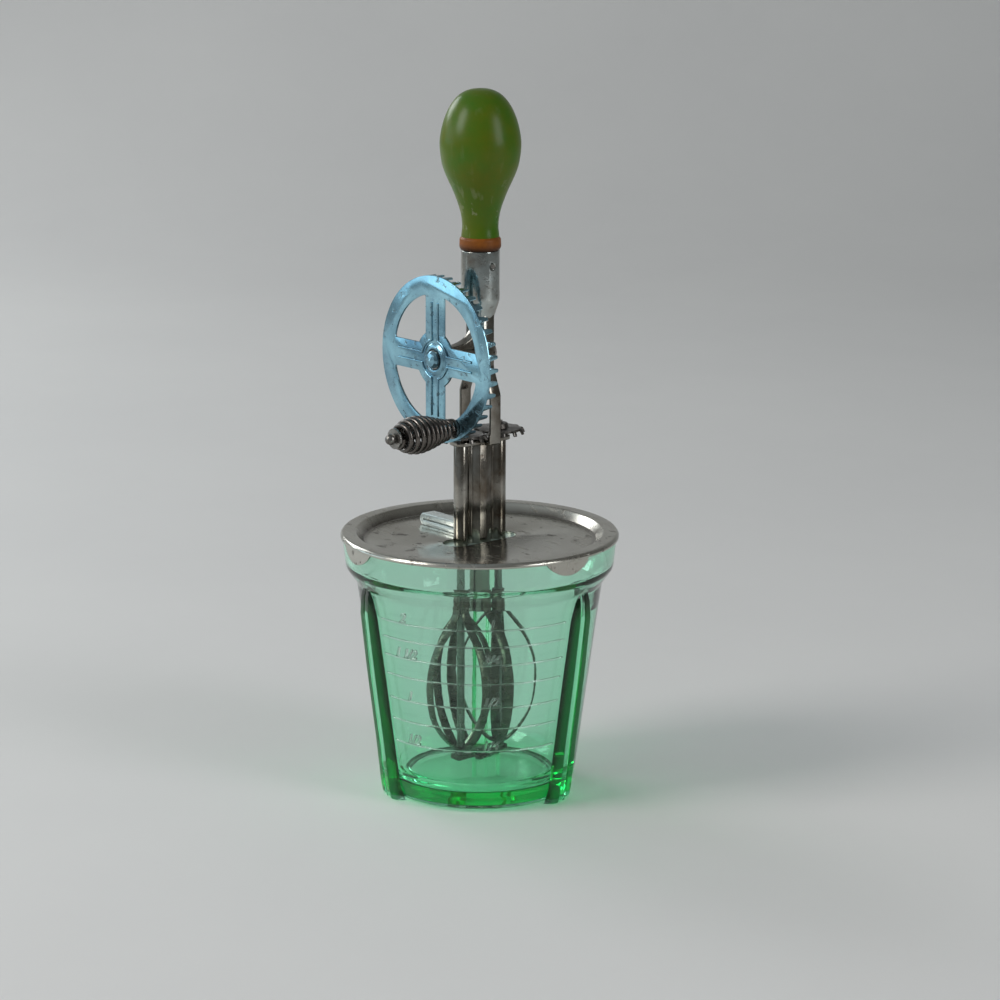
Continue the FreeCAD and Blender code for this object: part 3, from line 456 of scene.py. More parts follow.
def metal(name, look):
    material, tree, shader, vector = startMaterial(name)
    cloudy = useStains(tree, vector, look["cloud"], *metalWear["cloudSpan"])
    spots = useStains(tree, vector, look["spot"], *metalWear["spotSpan"])
    lines = useScratches(tree, vector, look["scratch"], look["stretch"])
    base = mixColour(tree, cloudy, look["bright"], look["dull"])
    if "ring" in look:
        base = mixColour(tree, ringDarkening(tree, vector, look["ring"], cloudy), base, look["rust"])
    marked = mixColour(tree, scaled(tree, spots, look["spotty"]), base, look["rust"])
    link(tree, marked, shader.inputs["Base Color"])
    shader.inputs["Metallic"].default_value = look["metallic"]
    rough = scaled(tree, cloudy, look["roughSpan"], look["rough"])
    rough = maths(tree, "ADD", rough, scaled(tree, spots, metalWear["spotRough"] * look["spotty"]))
    rough = maths(tree, "ADD", rough, scaled(tree, lines, metalWear["scratchRough"]))
    link(tree, rough, shader.inputs["Roughness"])
    sunk = maths(tree, "ADD", scaled(tree, lines, metalWear["scratchDeep"]), spots)
    height = maths(tree, "SUBTRACT", scaled(tree, cloudy, metalWear["cloudHigh"]), sunk)
    bump(tree, shader, height, look["bump"], metalWear["depth"])
    return material


lidLook = {"cloud": 24, "spot": 150, "scratch": 60, "stretch": (1, 7, 1), "bright": (0.52, 0.51, 0.46),
           "dull": (0.42, 0.4, 0.35), "rust": (0.05, 0.035, 0.025), "spotty": 0.85, "metallic": 1.0,
           "rough": 0.19, "roughSpan": 0.07, "bump": 0.08, "ring": (53.6, 2.4)}
nickelLook = {"cloud": 60, "spot": 300, "scratch": 90, "stretch": (6, 6, 0.5), "bright": (0.48, 0.53, 0.52),
              "dull": (0.17, 0.13, 0.09), "rust": (0.075, 0.045, 0.028), "spotty": 0.6, "metallic": 1.0,
              "rough": 0.09, "roughSpan": 0.1, "bump": 0.08}
# the strong cyan in the wheel's colours is partly painted reflection of bluish light
wheelLook = {"cloud": 32, "spot": 260, "scratch": 80, "stretch": (1, 1, 1), "bright": (0.34, 0.6, 0.7),
             "dull": (0.08, 0.16, 0.23), "rust": (0.06, 0.045, 0.04), "spotty": 0.85, "metallic": 1.0,
             "rough": 0.15, "roughSpan": 0.14, "bump": 0.3}
steelLook = {"cloud": 80, "spot": 400, "scratch": 120, "stretch": (3, 3, 1), "bright": (0.3, 0.29, 0.27),
             "dull": (0.11, 0.1, 0.09), "rust": (0.08, 0.045, 0.03), "spotty": 0.8, "metallic": 1.0,
             "rough": 0.22, "roughSpan": 0.2, "bump": 0.25}
tinLook = {"cloud": 50, "spot": 300, "scratch": 90, "stretch": (1, 1, 6), "bright": (0.17, 0.13, 0.11),
           "dull": (0.08, 0.055, 0.045), "rust": (0.09, 0.05, 0.035), "spotty": 0.5, "metallic": 1.0,
           "rough": 0.2, "roughSpan": 0.1, "bump": 0.05}
wireLook = {"cloud": 90, "spot": 500, "scratch": 140, "stretch": (1, 1, 1), "bright": (0.17, 0.155, 0.14),
            "dull": (0.07, 0.06, 0.055), "rust": (0.06, 0.035, 0.025), "spotty": 0.6, "metallic": 1.0,
            "rough": 0.2, "roughSpan": 0.18, "bump": 0.2}
bronzeLook = {**nickelLook, "bright": (0.3, 0.29, 0.26), "dull": (0.08, 0.06, 0.04), "stretch": (9, 9, 0.2),
              "rough": 0.11}
pinionLook = {**steelLook, "bright": (0.16, 0.15, 0.14), "dull": (0.05, 0.045, 0.04)}
# the keeper's pale mint colour is painted reflection of the green glass and painted light on a keeper that sits in
# shade under the slot
keeperReflectionLook = {**tinLook, "bright": (0.62, 0.78, 0.7), "dull": (0.4, 0.52, 0.46), "metallic": 0.4}
latchLook = {**wheelLook, "bright": (0.78, 0.86, 0.84), "dull": (0.5, 0.55, 0.53), "spotty": 1.0,
             "metallic": 0.55}
lidMetal = metal("lidMetal", lidLook)
nickel = metal("nickelPlate", nickelLook)
wheelMetal = metal("wheelPlate", wheelLook)
steel = metal("plainSteel", steelLook)
tin = metal("dasherTin", tinLook)
wire = metal("gripWire", wireLook)
darkSteel = metal("pinionSteel", pinionLook)
keeperReflectionMetal = metal("keeperTinReflection", keeperReflectionLook)
latchMetal = metal("latchPlate", latchLook)
bronze = metal("strapBronze", bronzeLook)


def makeGlass(look):
    material, tree, shader, vector = startMaterial("greenGlass")
    shader.inputs["Transmission Weight"].default_value = 1.0
    shader.inputs["Metallic"].default_value = 0.0
    shader.inputs["IOR"].default_value = 1.5
    waves = useStains(tree, vector, look["wave"], *look["waveSpan"])
    specks = useStains(tree, vector, look["speck"], *look["speckSpan"])
    link(tree, mixColour(tree, waves, look["pale"], look["mint"]), shader.inputs["Base Color"])
    # painted glow: the thick ribs give off green light by emission; a mask for what stands out of the wall below the
    # shoulder, in metres
    height = heightOf(tree, vector)
    wall = scaled(tree, height, look["wallSlope"], look["wallFoot"])
    proud = ramp(tree, maths(tree, "SUBTRACT", reachOf(tree, vector), wall), *look["proud"])
    mask = maths(tree, "MULTIPLY", proud, ramp(tree, height, *look["ribFade"]))
    mask = maths(tree, "MULTIPLY", mask, scaled(tree, waves, 0.5, 0.6))
    link(tree, mixColour(tree, mask, (0.0, 0.0, 0.0), look["ribPaintedGlow"]), shader.inputs["Emission Color"])
    shader.inputs["Emission Strength"].default_value = 1.0
    link(tree, scaled(tree, specks, 0.1, look["rough"]), shader.inputs["Roughness"])
    bump(tree, shader, waves, look["bump"], look["waveDeep"])
    depth = tree.nodes.new("ShaderNodeVolumeAbsorption")
    depth.inputs["Color"].default_value = (*look["deep"], 1)
    depth.inputs["Density"].default_value = look["density"]
    # shadows pass through as through a tinted pane
    clear = tree.nodes.new("ShaderNodeBsdfTransparent")
    clear.inputs["Color"].default_value = (*look["shade"], 1)
    path = tree.nodes.new("ShaderNodeLightPath")
    both = tree.nodes.new("ShaderNodeMixShader")
    out = tree.nodes["Material Output"]
    link(tree, path.outputs["Is Shadow Ray"], both.inputs[0])
    link(tree, shader.outputs["BSDF"], both.inputs[1])
    link(tree, clear.outputs["BSDF"], both.inputs[2])
    link(tree, both.outputs["Shader"], out.inputs["Surface"])
    # painted glow: the glass gives off green light through its whole volume, added to the absorption
    glow = tree.nodes.new("ShaderNodeEmission")
    glow.inputs["Color"].default_value = (*look["glow"], 1)
    glow.inputs["Strength"].default_value = look["glowing"]
    inner = tree.nodes.new("ShaderNodeAddShader")
    link(tree, depth.outputs["Volume"], inner.inputs[0])
    link(tree, glow.outputs["Emission"], inner.inputs[1])
    link(tree, inner.outputs["Shader"], out.inputs["Volume"])
    return material


glassLook = {"wave": 14, "waveSpan": (0.2, 0.8), "speck": 300, "speckSpan": (0.62, 0.74),
             "pale": (0.985, 0.998, 0.99), "mint": (0.97, 0.993, 0.98), "rough": 0.015, "bump": 0.035,
             "waveDeep": 0.002, "deep": (0.02, 0.89, 0.53), "density": 58, "shade": (0.7, 0.745, 0.715),
             "glow": (0.02, 1.0, 0.22), "glowing": 0.12, "ribPaintedGlow": (0.001, 0.085, 0.017),
             "wallSlope": 0.1321, "wallFoot": 0.04344, "proud": (0.0007, 0.0026), "ribFade": (0.099, 0.088)}
glass = makeGlass(glassLook)


def makePaint(look):
    material, tree, shader, vector = startMaterial("handlePaint")
    tone = useStains(tree, vector, look["tone"], *look["toneSpan"])
    paint = mixColour(tree, tone, look["green"], look["olive"])
    chips = useStains(tree, vector, look["chip"], *look["chipSpan"])
    low = ramp(tree, heightOf(tree, vector), *look["wear"])
    lines = useScratches(tree, vector, look["scratch"], look["stretch"])
    bare = maths(tree, "MULTIPLY", maths(tree, "MAXIMUM", chips, scaled(tree, lines, 0.7)), low)
    soft = scaled(tree, scaled(tree, lines, 0.35), 0.4)
    worn = maths(tree, "MINIMUM", maths(tree, "ADD", bare, soft), 1.0)
    link(tree, mixColour(tree, worn, paint, look["wood"]), shader.inputs["Base Color"])
    rough = scaled(tree, worn, look["wornRough"], look["rough"])
    rough = maths(tree, "ADD", rough, scaled(tree, tone, look["toneRough"]))
    link(tree, rough, shader.inputs["Roughness"])
    shader.inputs["Specular IOR Level"].default_value = look["specular"]
    shader.inputs["Coat Weight"].default_value = look["coat"]
    shader.inputs["Coat Roughness"].default_value = 0.1
    bump(tree, shader, maths(tree, "SUBTRACT", scaled(tree, tone, 0.3), worn), look["bump"], 0.0005)
    return material


paintLook = {"tone": 60, "toneSpan": (0.3, 0.75), "green": (0.04, 0.125, 0.006), "olive": (0.1, 0.115, 0.003),
             "chip": 130, "chipSpan": (0.6, 0.63), "wear": (0.292, 0.262), "scratch": 170,
             "stretch": (1.6, 1.6, 0.3), "wood": (0.2, 0.22, 0.11), "rough": 0.27, "wornRough": 0.35,
             "toneRough": 0.08, "specular": 0.2, "coat": 0.02, "bump": 0.35}
paint = makePaint(paintLook)


def makeWood(look):
    material, tree, shader, vector = startMaterial("bareWood")
    grain = useScratches(tree, vector, look["grain"], look["stretch"])
    tone = useStains(tree, vector, look["tone"], *look["toneSpan"])
    edge = ramp(tree, heightOf(tree, vector), *look["shadedFoot"])
    base = mixColour(tree, tone, look["light"], look["dark"])
    base = mixColour(tree, scaled(tree, grain, 0.5), base, look["grainAndShade"])
    # painted shade: the lower part of the bead darkens toward the ferrule; the same dark colour also draws the grain
    base = mixColour(tree, scaled(tree, edge, 0.8), base, look["grainAndShade"])
    link(tree, base, shader.inputs["Base Color"])
    shader.inputs["Specular IOR Level"].default_value = look["specular"]
    link(tree, scaled(tree, tone, 0.2, look["rough"]), shader.inputs["Roughness"])
    bump(tree, shader, maths(tree, "SUBTRACT", tone, grain), look["bump"], 0.0004)
    return material


woodLook = {"grain": 420, "stretch": (1, 1, 0.12), "tone": 90, "toneSpan": (0.3, 0.7), "light": (0.27, 0.085, 0.01),
            "dark": (0.14, 0.04, 0.006), "grainAndShade": (0.03, 0.014, 0.008), "shadedFoot": (0.2562, 0.2536),
            "rough": 0.36, "specular": 0.2, "bump": 0.3}
wood = makeWood(woodLook)
print("stage: materials made")

# glass jar: turned wall, three grooved ribs that end in feet, measuring lines and plain numbers
jar = {"steps": 192, "heel": (44.5, 8), "shoulder": (55.2, 89), "ribTurn": 15.5, "ribHalf": 6.3, "ribFace": 3.5,
       "ribGroove": 2.7, "ribRoot": -1.9, "levels": (30.4, 41.4, 51.7, 63.2, 72.4, 81.2, 89.3), "span": 98,
       "lineHigh": 0.75, "lineThick": 1.1, "lineSunk": 0.12, "lineRise": 0.4}
number = {"high": 4.4, "rise": 1.4, "size": 1.35, "thick": 0.55, "weight": 0.1, "slant": 0.25,
          "columns": {-34: {"2": 6, "1 1/2": 4, "1": 2, "1/2": 0}, 10: {"1": 6, "3/4": 4, "1/2": 2, "1/4": 0}}}
jarLine = [(0, 3.2), (35.5, 3.2, 2), (38.5, 1.5, 1.2), (42.5, 1.5, 2.5), (*jar["heel"], 8), (*jar["shoulder"], 20),
           (56.8, 100, 4), (61.8, 107, 5), (63.2, 121.4, 1.6), (57.9, 121.4, 1.6), (57.9, 109, 4), (52.1, 101, 6),
           (49.7, 89, 14), (39, 15, 12), (34, 8.2, 7), (0, 8.2)]
jarWall = lathe("jar_wall", rounded(jarLine, 6), jar["steps"])


def wallAt(z):
    (r0, z0), (r1, z1) = jar["heel"], jar["shoulder"]
    return r0 + (r1 - r0) * (z - z0) / (z1 - z0)


def makeRib(index):
    # the outline lies flat at the foot, then rides up the wall in steps of (reach, height, size)
    half, face = jar["ribHalf"], jar["ribFace"]
    side = [(jar["ribRoot"], half + 1.4), (0.2, half + 1.0), (2.9, half - 0.9), (face, half - 1.9),
            (face, 0.75), (jar["ribGroove"], 0.25)]
    obj = draw("rib", [(x, -y) for x, y in side] + side[::-1], flat=True)
    bpy.ops.mesh.edge_face_add()
    way = [(42.1, 0.0, 0.94), (43.3, 0.7, 1.05), (44.0, 3.0, 1.02), (44.9, 8.0, 1.0), (wallAt(30), 30, 1.0),
           (wallAt(60), 60, 1.0), (wallAt(89) - 0.3, 89, 0.95), (wallAt(97) - 1.3, 97, 0.9),
           (wallAt(100) - 2.2, 102.5, 0.8), (wallAt(100) - 3.4, 105.5, 0.6)]
    x, z, size = way[0]
    bpy.ops.transform.resize(value=(size, size, 1), center_override=(0, 0, 0))
    bpy.ops.transform.translate(value=(x * mm, 0, z * mm))
    for nx, nz, size in way[1:]:
        pull((nx - x, 0, nz - z))
        bpy.ops.transform.resize(value=(size, size, 1), center_override=(nx * mm, 0, nz * mm))
        x, z = nx, nz
    closeEdit()
    bevel(obj, 0.5, 3, 24)
    spinPiece(obj, jar["ribTurn"] + 120 * index)
    return obj


ribs = joined("ribs", [makeRib(i) for i in range(3)])
boolean(jarWall, ribs, "UNION")
smooth(jarWall, 40)


def makeLevel(z):
    bpy.ops.mesh.primitive_plane_add(size=1)
    obj = bpy.context.object
    edit(obj)
    turnBy(90, "X")
    middle = z + jar["lineRise"]
    bpy.ops.transform.resize(value=(jar["lineThick"] * mm, 1, jar["lineHigh"] * mm))
    bpy.ops.transform.translate(value=((wallAt(middle) - jar["lineSunk"]) * mm, 0, middle * mm))
    # the spin runs clockwise, so it starts at the counter-clockwise end
    turnBy(jar["ribTurn"] - 60 + jar["span"] / 2, "Z")
    bpy.ops.mesh.spin(steps=48, angle=math.radians(jar["span"]), center=(0, 0, 0), axis=(0, 0, 1))
    closeEdit()
    bevel(obj, 0.22, 2, 40)
    return obj


def makeNumber(words, angle, z):
    bpy.ops.object.text_add()
    obj = bpy.context.object
    obj.data.body = words
    obj.data.size = number["high"] * mm * number["size"]
    obj.data.extrude = number["thick"] * mm
    obj.data.offset = number["weight"] * mm
    obj.data.bevel_depth = number["weight"] * mm
    obj.data.align_x = "CENTER"
    obj.data.shear = number["slant"]
    obj.data.resolution_u = 4
    only(obj)
    bpy.ops.object.convert(target="MESH")
    obj = bpy.context.object
    edit(obj)
    turnBy(90, "X")
    turnBy(90, "Z")
    bpy.ops.transform.translate(value=(wallAt(z + number["high"] / 2) * mm, 0, z * mm))
    turnBy(angle, "Z")
    done()
    return obj


marks = [makeLevel(z) for z in jar["levels"]]
for offset, column in number["columns"].items():
    for words, level in column.items():
        z = jar["levels"][level] + number["rise"]
        marks.append(makeNumber(words, jar["ribTurn"] - 60 + offset, z))
for mark in marks:
    smooth(mark, 40)
glassJar = joined("jar_glass", [jarWall] + marks)
give(glassJar, "jar", glass, "jar_glass", "glass_jar")
print("stage: jar made")

# lid: sunk disc, sloping wall, flat rim, rolled edge, slot and four lugs
lidPart = {"slotHalf": 7.0, "slotReach": 13.0, "lugs": (88.7, -11.3, 168.7, 268.7), "lugHalf": 12.6, "lugLong": 7.0,
           "lugThick": 0.8, "lugTop": 121.9, "lugFoot": 63.3, "lugBend": 64}
lidLine = [(0, 118.6), (52.8, 118.6, 1.6), (53.6, 119.0, 0.8), (57.0, 122.6, 1.4), (63.2, 122.6, 1.4),
           (64.1, 121.3, 0.9), (64.1, 120.25, 0.3), (63.38, 120.25, 0.3), (63.38, 121.45, 0.4), (56.2, 121.45, 1),
           (52.6, 117.4, 1.2), (0, 117.4)]
lid = lathe("lid_sheet", rounded(lidLine, 5), 200)
half, reach = lidPart["slotHalf"], lidPart["slotReach"]
slotLine = arc(half, 0, math.pi, 24, (0, reach)) + arc(half, math.pi, 2 * math.pi, 24, (0, -reach))
boolean(lid, plate("slot_cutter", slotLine, 110, 125))


def makeLug(angle):
    # a rounded tongue, bent round the rim and turned down over the lip
    half, length = lidPart["lugHalf"], lidPart["lugLong"]
    line = [(-half, 0)]
    for k in range(25):
        a = math.pi * (1 + k / 24)
        line.append((half * math.cos(a), length * math.sin(a) * (1 - 0.12 * math.cos(2 * a))))
    obj = plate("lug", line, 0, lidPart["lugThick"])
    edit(obj)
    bpy.ops.mesh.subdivide(number_cuts=3)
    turnBy(90, "X")
    turnBy(90, "Z")
    done()
    for vertex in obj.data.vertices:
        swing = vertex.co.y / (lidPart["lugBend"] * mm)
        out = lidPart["lugFoot"] * mm + vertex.co.x
        vertex.co.x, vertex.co.y = out * math.cos(swing), out * math.sin(swing)
        vertex.co.z += lidPart["lugTop"] * mm
    spinPiece(obj, angle - 90)
    return obj


bevel(lid, 0.12, 2, 50)
lid = joined("lid_sheet", [lid] + [makeLug(a) for a in lidPart["lugs"]])
smooth(lid, 35)
give(lid, "head", lidMetal, "lid_plate", "lid")
print("stage: lid made")

# handle: painted pear shape above a bare turned bead
handlePart = {"foot": 258.9, "steps": 96}
handleLine = smoothLine([(0, 325.4), (4.5, 324.9), (8.3, 323.3), (11.2, 320.9), (13.6, 317.6), (15.5, 313.8),
                         (17.0, 309.4), (18.0, 304.8), (18.35, 300.6), (18.0, 295.8), (17.2, 291.2), (15.9, 287.4),
                         (14.3, 283.8), (12.5, 279.9), (10.8, 275.6), (9.3, 271.2), (8.45, 267), (8.2, 263.4),
                         (8.5, 260.2), (8.6, handlePart["foot"])], 5)
handle = lathe("handle_grip", handleLine + [(0, handlePart["foot"])], handlePart["steps"])
smooth(handle, 50)
give(handle, "head", paint, "handle_paint", "handle")
beadLine = [(0, 258.95), (8.5, 258.95, 0.3), (9.35, 258.0, 1.2), (9.45, 254.4, 1.2), (8.9, 253.05, 0.5), (0, 253.05)]
bead = lathe("handle_bead", rounded(beadLine, 5), handlePart["steps"])
smooth(bead, 50)
give(bead, "head", wood, "handle_paint")
print("stage: handle made")

# drive wheel: local +Z faces -Y once turned upright
wheelPart = {"centre": 205.6, "front": -25.55, "thick": 1.1, "radius": 37.9, "inner": 29.3, "hub": 13.0,
             "spoke": 6.5, "outerCorner": 6.5, "innerCorner": 3.4, "bore": 2.54, "teeth": 40, "toothRing": 37.45,
             "press": 0.62, "pressHeight": 1.12, "pressTurn": 8.9, "pressGap": 2.3, "pressReach": 25.8}


def windowLine():
    a1 = math.asin(wheelPart["spoke"] / wheelPart["inner"])
    a0 = math.asin(wheelPart["spoke"] / wheelPart["hub"])
    line = arc(wheelPart["inner"], a1, math.pi / 2 - a1, 14)
    line += arc(wheelPart["hub"], math.pi / 2 - a0, a0, 6)
    corner = {0: wheelPart["outerCorner"], 14: wheelPart["outerCorner"],
              15: wheelPart["innerCorner"], 21: wheelPart["innerCorner"]}
    return rounded([(x, y, corner.get(i, 0)) for i, (x, y) in enumerate(line)], 5, True)


disc = rod("disc", wheelPart["radius"], wheelPart["thick"], (0, 0, wheelPart["thick"] / 2), 200)
cutter = plate("window_cutter", windowLine(), -2, 3)
around(cutter, 4)
boolean(disc, cutter)
boolean(disc, rod("bore_cutter", wheelPart["bore"], 10, (0, 0, 0)))
bevel(disc, 0.22, 2, 40)
ringLine = [(4.4, 1.05), (4.9, 1.9, 0.6), (5.6, 2.1, 0.6), (6.6, 1.7, 0.6), (7.6, 1.05)]
ring = lathe("hub_ring", rounded(ringLine, 4), 72)
turned = arc(wheelPart["pressTurn"], math.radians(15), math.radians(75), 10)
turned = [(x, y, 1.2 if k in (0, 10) else 0) for k, (x, y) in enumerate(turned)]
far, near = wheelPart["pressReach"], wheelPart["pressGap"]
pressLine = rounded([(far, near)] + turned + [(near, far)], 4)
pressed = []
for k in range(4):
    pressPoints = [(x, y, wheelPart["pressHeight"]) for x, y in pressLine]
    press = wireAlong("press", pressPoints, wheelPart["press"], 4)
    spinPiece(press, 90 * k)
    pressed.append(press)
tabLine = [(-1.6, 1.0), (1.6, 1.0), (1.55, 0.2), (0.75, -4.3, 0.6), (-0.75, -4.3, 0.6), (-1.55, 0.2)]
tab = plate("tab", rounded(tabLine, 4, True), -0.45, 0.45)
bevel(tab, 0.25, 2, 40)
spinPiece(tab, 90, "X")
spinPiece(tab, 90, "Z")
move(tab, (wheelPart["toothRing"], 0, 0))
around(tab, wheelPart["teeth"])
wheel = joined("wheel_plate", [disc, ring, tab] + pressed)
spinPiece(wheel, 90, "X")
move(wheel, (0, wheelPart["front"], wheelPart["centre"]))
smooth(wheel, 35)
give(wheel, "wheel", wheelMetal, "wheel_plate", "drive_wheel")
print("stage: wheel made")

# crank grip: one wire wound in a barrel
grip = {"turns": 10, "steps": 32, "pitch": 2.9, "big": 7.5, "small": 3.6, "wire": 1.15, "spot": (13, 176.0),
        "back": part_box("grip_coil")[1].y / mm}


def barrel(u):
    return grip["small"] + (grip["big"] - grip["small"]) * max(0, math.sin(math.pi * u ** 1.6)) ** 0.8


def coilPoint(u):
    radius, angle = barrel(u), 2 * math.pi * grip["turns"] * u
    return (grip["spot"][0] + radius * math.cos(angle),
            grip["back"] - grip["wire"] - grip["pitch"] * grip["turns"] * u,
            grip["spot"][1] + radius * math.sin(angle))


count = grip["turns"] * grip["steps"]
coil = wireAlong("grip_wire", [coilPoint(k / count) for k in range(count + 1)], grip["wire"], 5)
smooth(coil, 60)
give(coil, "grip", wire, "grip_wire", "grip_coil")
print("stage: grip made")

# frame: ferrule with its formed neck, and below it the axle gusset, two bent straps, shelf, columns and sleeve
framePart = {"pinZ": 246.0, "dimple": 2.9, "dimpleOut": 10.9, "strapHalf": 3.0, "gussetHalf": 2.7,
             "axle": 205.6, "axleBore": 2.56, "shelf": (164.2, 166.2), "shelfBore": 1.86,
             "columns": (108.0, 164.7), "columnBore": 2.4, "shaft": 11.25, "tube": 3.4, "tubeGap": 62}
ferruleLine = [(0, 219.5), (5.4, 219.5, 0.6), (6.3, 222, 1.4), (8.8, 230, 6), (8.8, 232.2, 0.4), (8.8, 252.6, 0.4),
               (8.3, 253.0, 0.3), (7.84, 252.7), (7.84, 232), (0, 232)]
ferrule = lathe("ferrule", rounded(ferruleLine, 5), 96)
for side in (-1, 1):
    bpy.ops.mesh.primitive_uv_sphere_add(segments=40, ring_count=20, radius=framePart["dimple"] * mm)
    dimple = bpy.context.object
    move(dimple, (side * framePart["dimpleOut"], 0, framePart["pinZ"]))
    boolean(ferrule, dimple)

strapLine = [(5.1, 223.5), (6.4, 223.5), (6.4, 199.6, 5), (11.2, 187.4, 5), (11.2, 164.3, 1.4), (6.6, 164.3),
             (6.6, 165.6), (9.9, 165.6, 0.6), (9.9, 187.0, 4), (5.1, 199.2, 4)]
straps = []
for turned in (0, 180):
    strap = sheetBand("strap", rounded(strapLine, 6), -framePart["strapHalf"], framePart["strapHalf"])
    bevel(strap, 0.3, 2, 40)
    if turned:
        spinPiece(strap, turned)
    straps.append(strap)
# seen along +X: the gusset hangs from the neck and carries the axle tube
gussetLine = smoothLine([(-2.2, 222.5), (-3.6, 218.0), (-7.0, 213.6), (-12.5, 211.2), (-20.5, 210.2)], 5)
gussetLine += [(-20.5, 204.0), (2.6, 204.0), (2.6, 222.5)]
gusset = sheetBand("gusset", gussetLine, -framePart["gussetHalf"], framePart["gussetHalf"], "X")
bevel(gusset, 0.5, 3, 35)
axleTubeLine = rounded([(2.52, -5.2), (4.0, -5.2, 0.4), (4.0, 5.2, 0.4), (2.52, 5.2)], 3)
axleTube = lathe("axle_tube", axleTubeLine, 64, closed=True)
spinPiece(axleTube, 90, "X")
move(axleTube, (0, 0, framePart["axle"]))
boolean(gusset, rod("gusset_bore", framePart["axleBore"], 60, (0, 0, framePart["axle"]), 48, "Y"))
shelfLine = rounded([(-5.4, -15.6, 4.5), (5.4, -15.6, 4.5), (5.4, 15.6, 4.5), (-5.4, 15.6, 4.5)], 8, True)
shelf = plate("shelf", shelfLine, *framePart["shelf"])
for side in (-1, 1):
    boolean(shelf, rod("shelf_bore", framePart["shelfBore"], 10, (0, side * framePart["shaft"], 165), 40))
bevel(shelf, 0.35, 3, 40)


def columnOutline():
    # a tube and half of the web and middle sleeve, which has one flat and one rounded face each side, then
    # the same again half a turn on
    gap = math.radians(framePart["tubeGap"])
    line = arc(framePart["tube"], -gap, math.pi + gap, 26, (0, framePart["shaft"]))
    line += rounded([(-1.6, 8.24), (-0.85, 7.2, 0.4), (-0.85, 5.4, 0.6), (-4.1, 3.3, 0.7), (-4.6, -0.5, 2.5),
                     (-3.4, -4.0, 1.6), (-0.85, -5.2, 0.6), (-0.85, -7.2, 0.4), (-1.6, -8.24)], 5)[1:-1]
    return line + [(-x, -y) for x, y in line]


columns = plate("columns", columnOutline(), *framePart["columns"])
for side in (-1, 1):
    boolean(columns, rod("column_bore", framePart["columnBore"], 58, (0, side * framePart["shaft"], 135), 40))
bevel(columns, 0.25, 2, 50)
sleeveLine = rounded([(0, 86.2), (4.3, 86.2, 0.5), (4.6, 87.0, 0.4), (4.6, 109, 0.5), (4.2, 110)], 4)
sleeve = lathe("sleeve", sleeveLine + [(0, 110)], 64)
framePiece = joined("frame_plate", [ferrule])
smooth(framePiece, 38)
give(framePiece, "head", nickel, "nickel_plate", "frame")
strapPiece = joined("frame_straps", [gusset, axleTube, shelf, columns, sleeve] + straps)
smooth(strapPiece, 38)
give(strapPiece, "head", bronze, "nickel_plate")
print("stage: frame made")

# pinions: a flat disc whose twelve teeth are bent down, and a boss on top
pinion = {"teeth": 12, "toothHalf": 0.85, "turn": {"front": 15.0, "rear": 0.0}}
bossLine = rounded([(1.84, 168.25), (10.3, 168.25, 0.3), (10.3, 169.4, 0.3), (4.5, 169.4, 0.5), (4.1, 171.7, 0.4),
                    (1.84, 171.7)], 4)
toothLine = rounded([(9.4, 169.35), (11.4, 169.35, 1.2), (12.35, 166.85, 0.3), (11.35, 166.85, 0.3),
                     (10.6, 168.3, 0.7), (9.4, 168.3)], 4)


def makePinion(place, side):
    body = lathe(place + "_disc", bossLine, 72, closed=True)
    tooth = sheetBand(place + "_tooth", toothLine, -pinion["toothHalf"], pinion["toothHalf"])
    bevel(tooth, 0.25, 2, 40)
    around(tooth, pinion["teeth"])
    whole = joined(place + "_pinion_plate", [body, tooth])
    spinPiece(whole, pinion["turn"][place])
    move(whole, (0, side * framePart["shaft"], 0))
    smooth(whole, 35)
    give(whole, place + "_dasher", darkSteel, "plain_steel", place + "_pinion")


makePinion("front", -1)
makePinion("rear", 1)
print("stage: pinions made")

# dasher loops and guard: strips bent round their shafts
stripPart = {"wide": 4.3, "thick": 0.9, "guardWide": 5.2, "guardThick": 1.2, "crossRise": 1.1}
loopHalf = [(2.45, 96), (2.45, 88), (3.4, 83), (7.6, 77.6), (13.0, 70.8), (16.9, 61), (17.9, 50), (15.9, 37.5),
            (10.8, 27.6), (4.6, 20.9), (0, 19.6)]
guardHalf = [(4.75, 97), (4.95, 89), (7.4, 83.8), (13.6, 77.5), (18.6, 67), (20.9, 52), (18.8, 35.5),
             (12.6, 21.6), (5.2, 15.1), (0, 14.45)]


def strip(name, half, wide, thick, turned, y):
    line = smoothLine([(-x, z) for x, z in half] + [(x, z) for x, z in reversed(half[:-1])], 5)
    obj = draw(name, line, closed=False)
    bpy.ops.transform.translate(value=(0, -wide / 2 * mm, 0))
    pull((0, wide, 0))
    closeEdit()
    only(obj)
    mod = obj.modifiers.new("sheetWall", "SOLIDIFY")
    mod.thickness = thick * mm
    mod.offset = 0
    bpy.ops.object.modifier_apply(modifier=mod.name)
    bevel(obj, 0.25, 2, 40)
    spinPiece(obj, turned)
    move(obj, (0, y, 0))
    smooth(obj, 40)
    return obj


for place, side, start in (("front", -1, 0), ("rear", 1, 45)):
    for order, label in enumerate(("loop", "cross_loop")):
        half = [(x, z + (stripPart["crossRise"] * order if z < 30 else 0)) for x, z in loopHalf]
        loop = strip("%s_%s_strip" % (place, label), half, stripPart["wide"], stripPart["thick"],
                     start + 90 * order, side * framePart["shaft"])
        give(loop, place + "_dasher", tin, "dasher_tin", "%s_dasher_%s" % (place, label))
guard = strip("guard_strip", guardHalf, stripPart["guardWide"], stripPart["guardThick"], 0, 0)
give(guard, "head", tin, "dasher_tin", "guard_arch")
print("stage: dashers made")

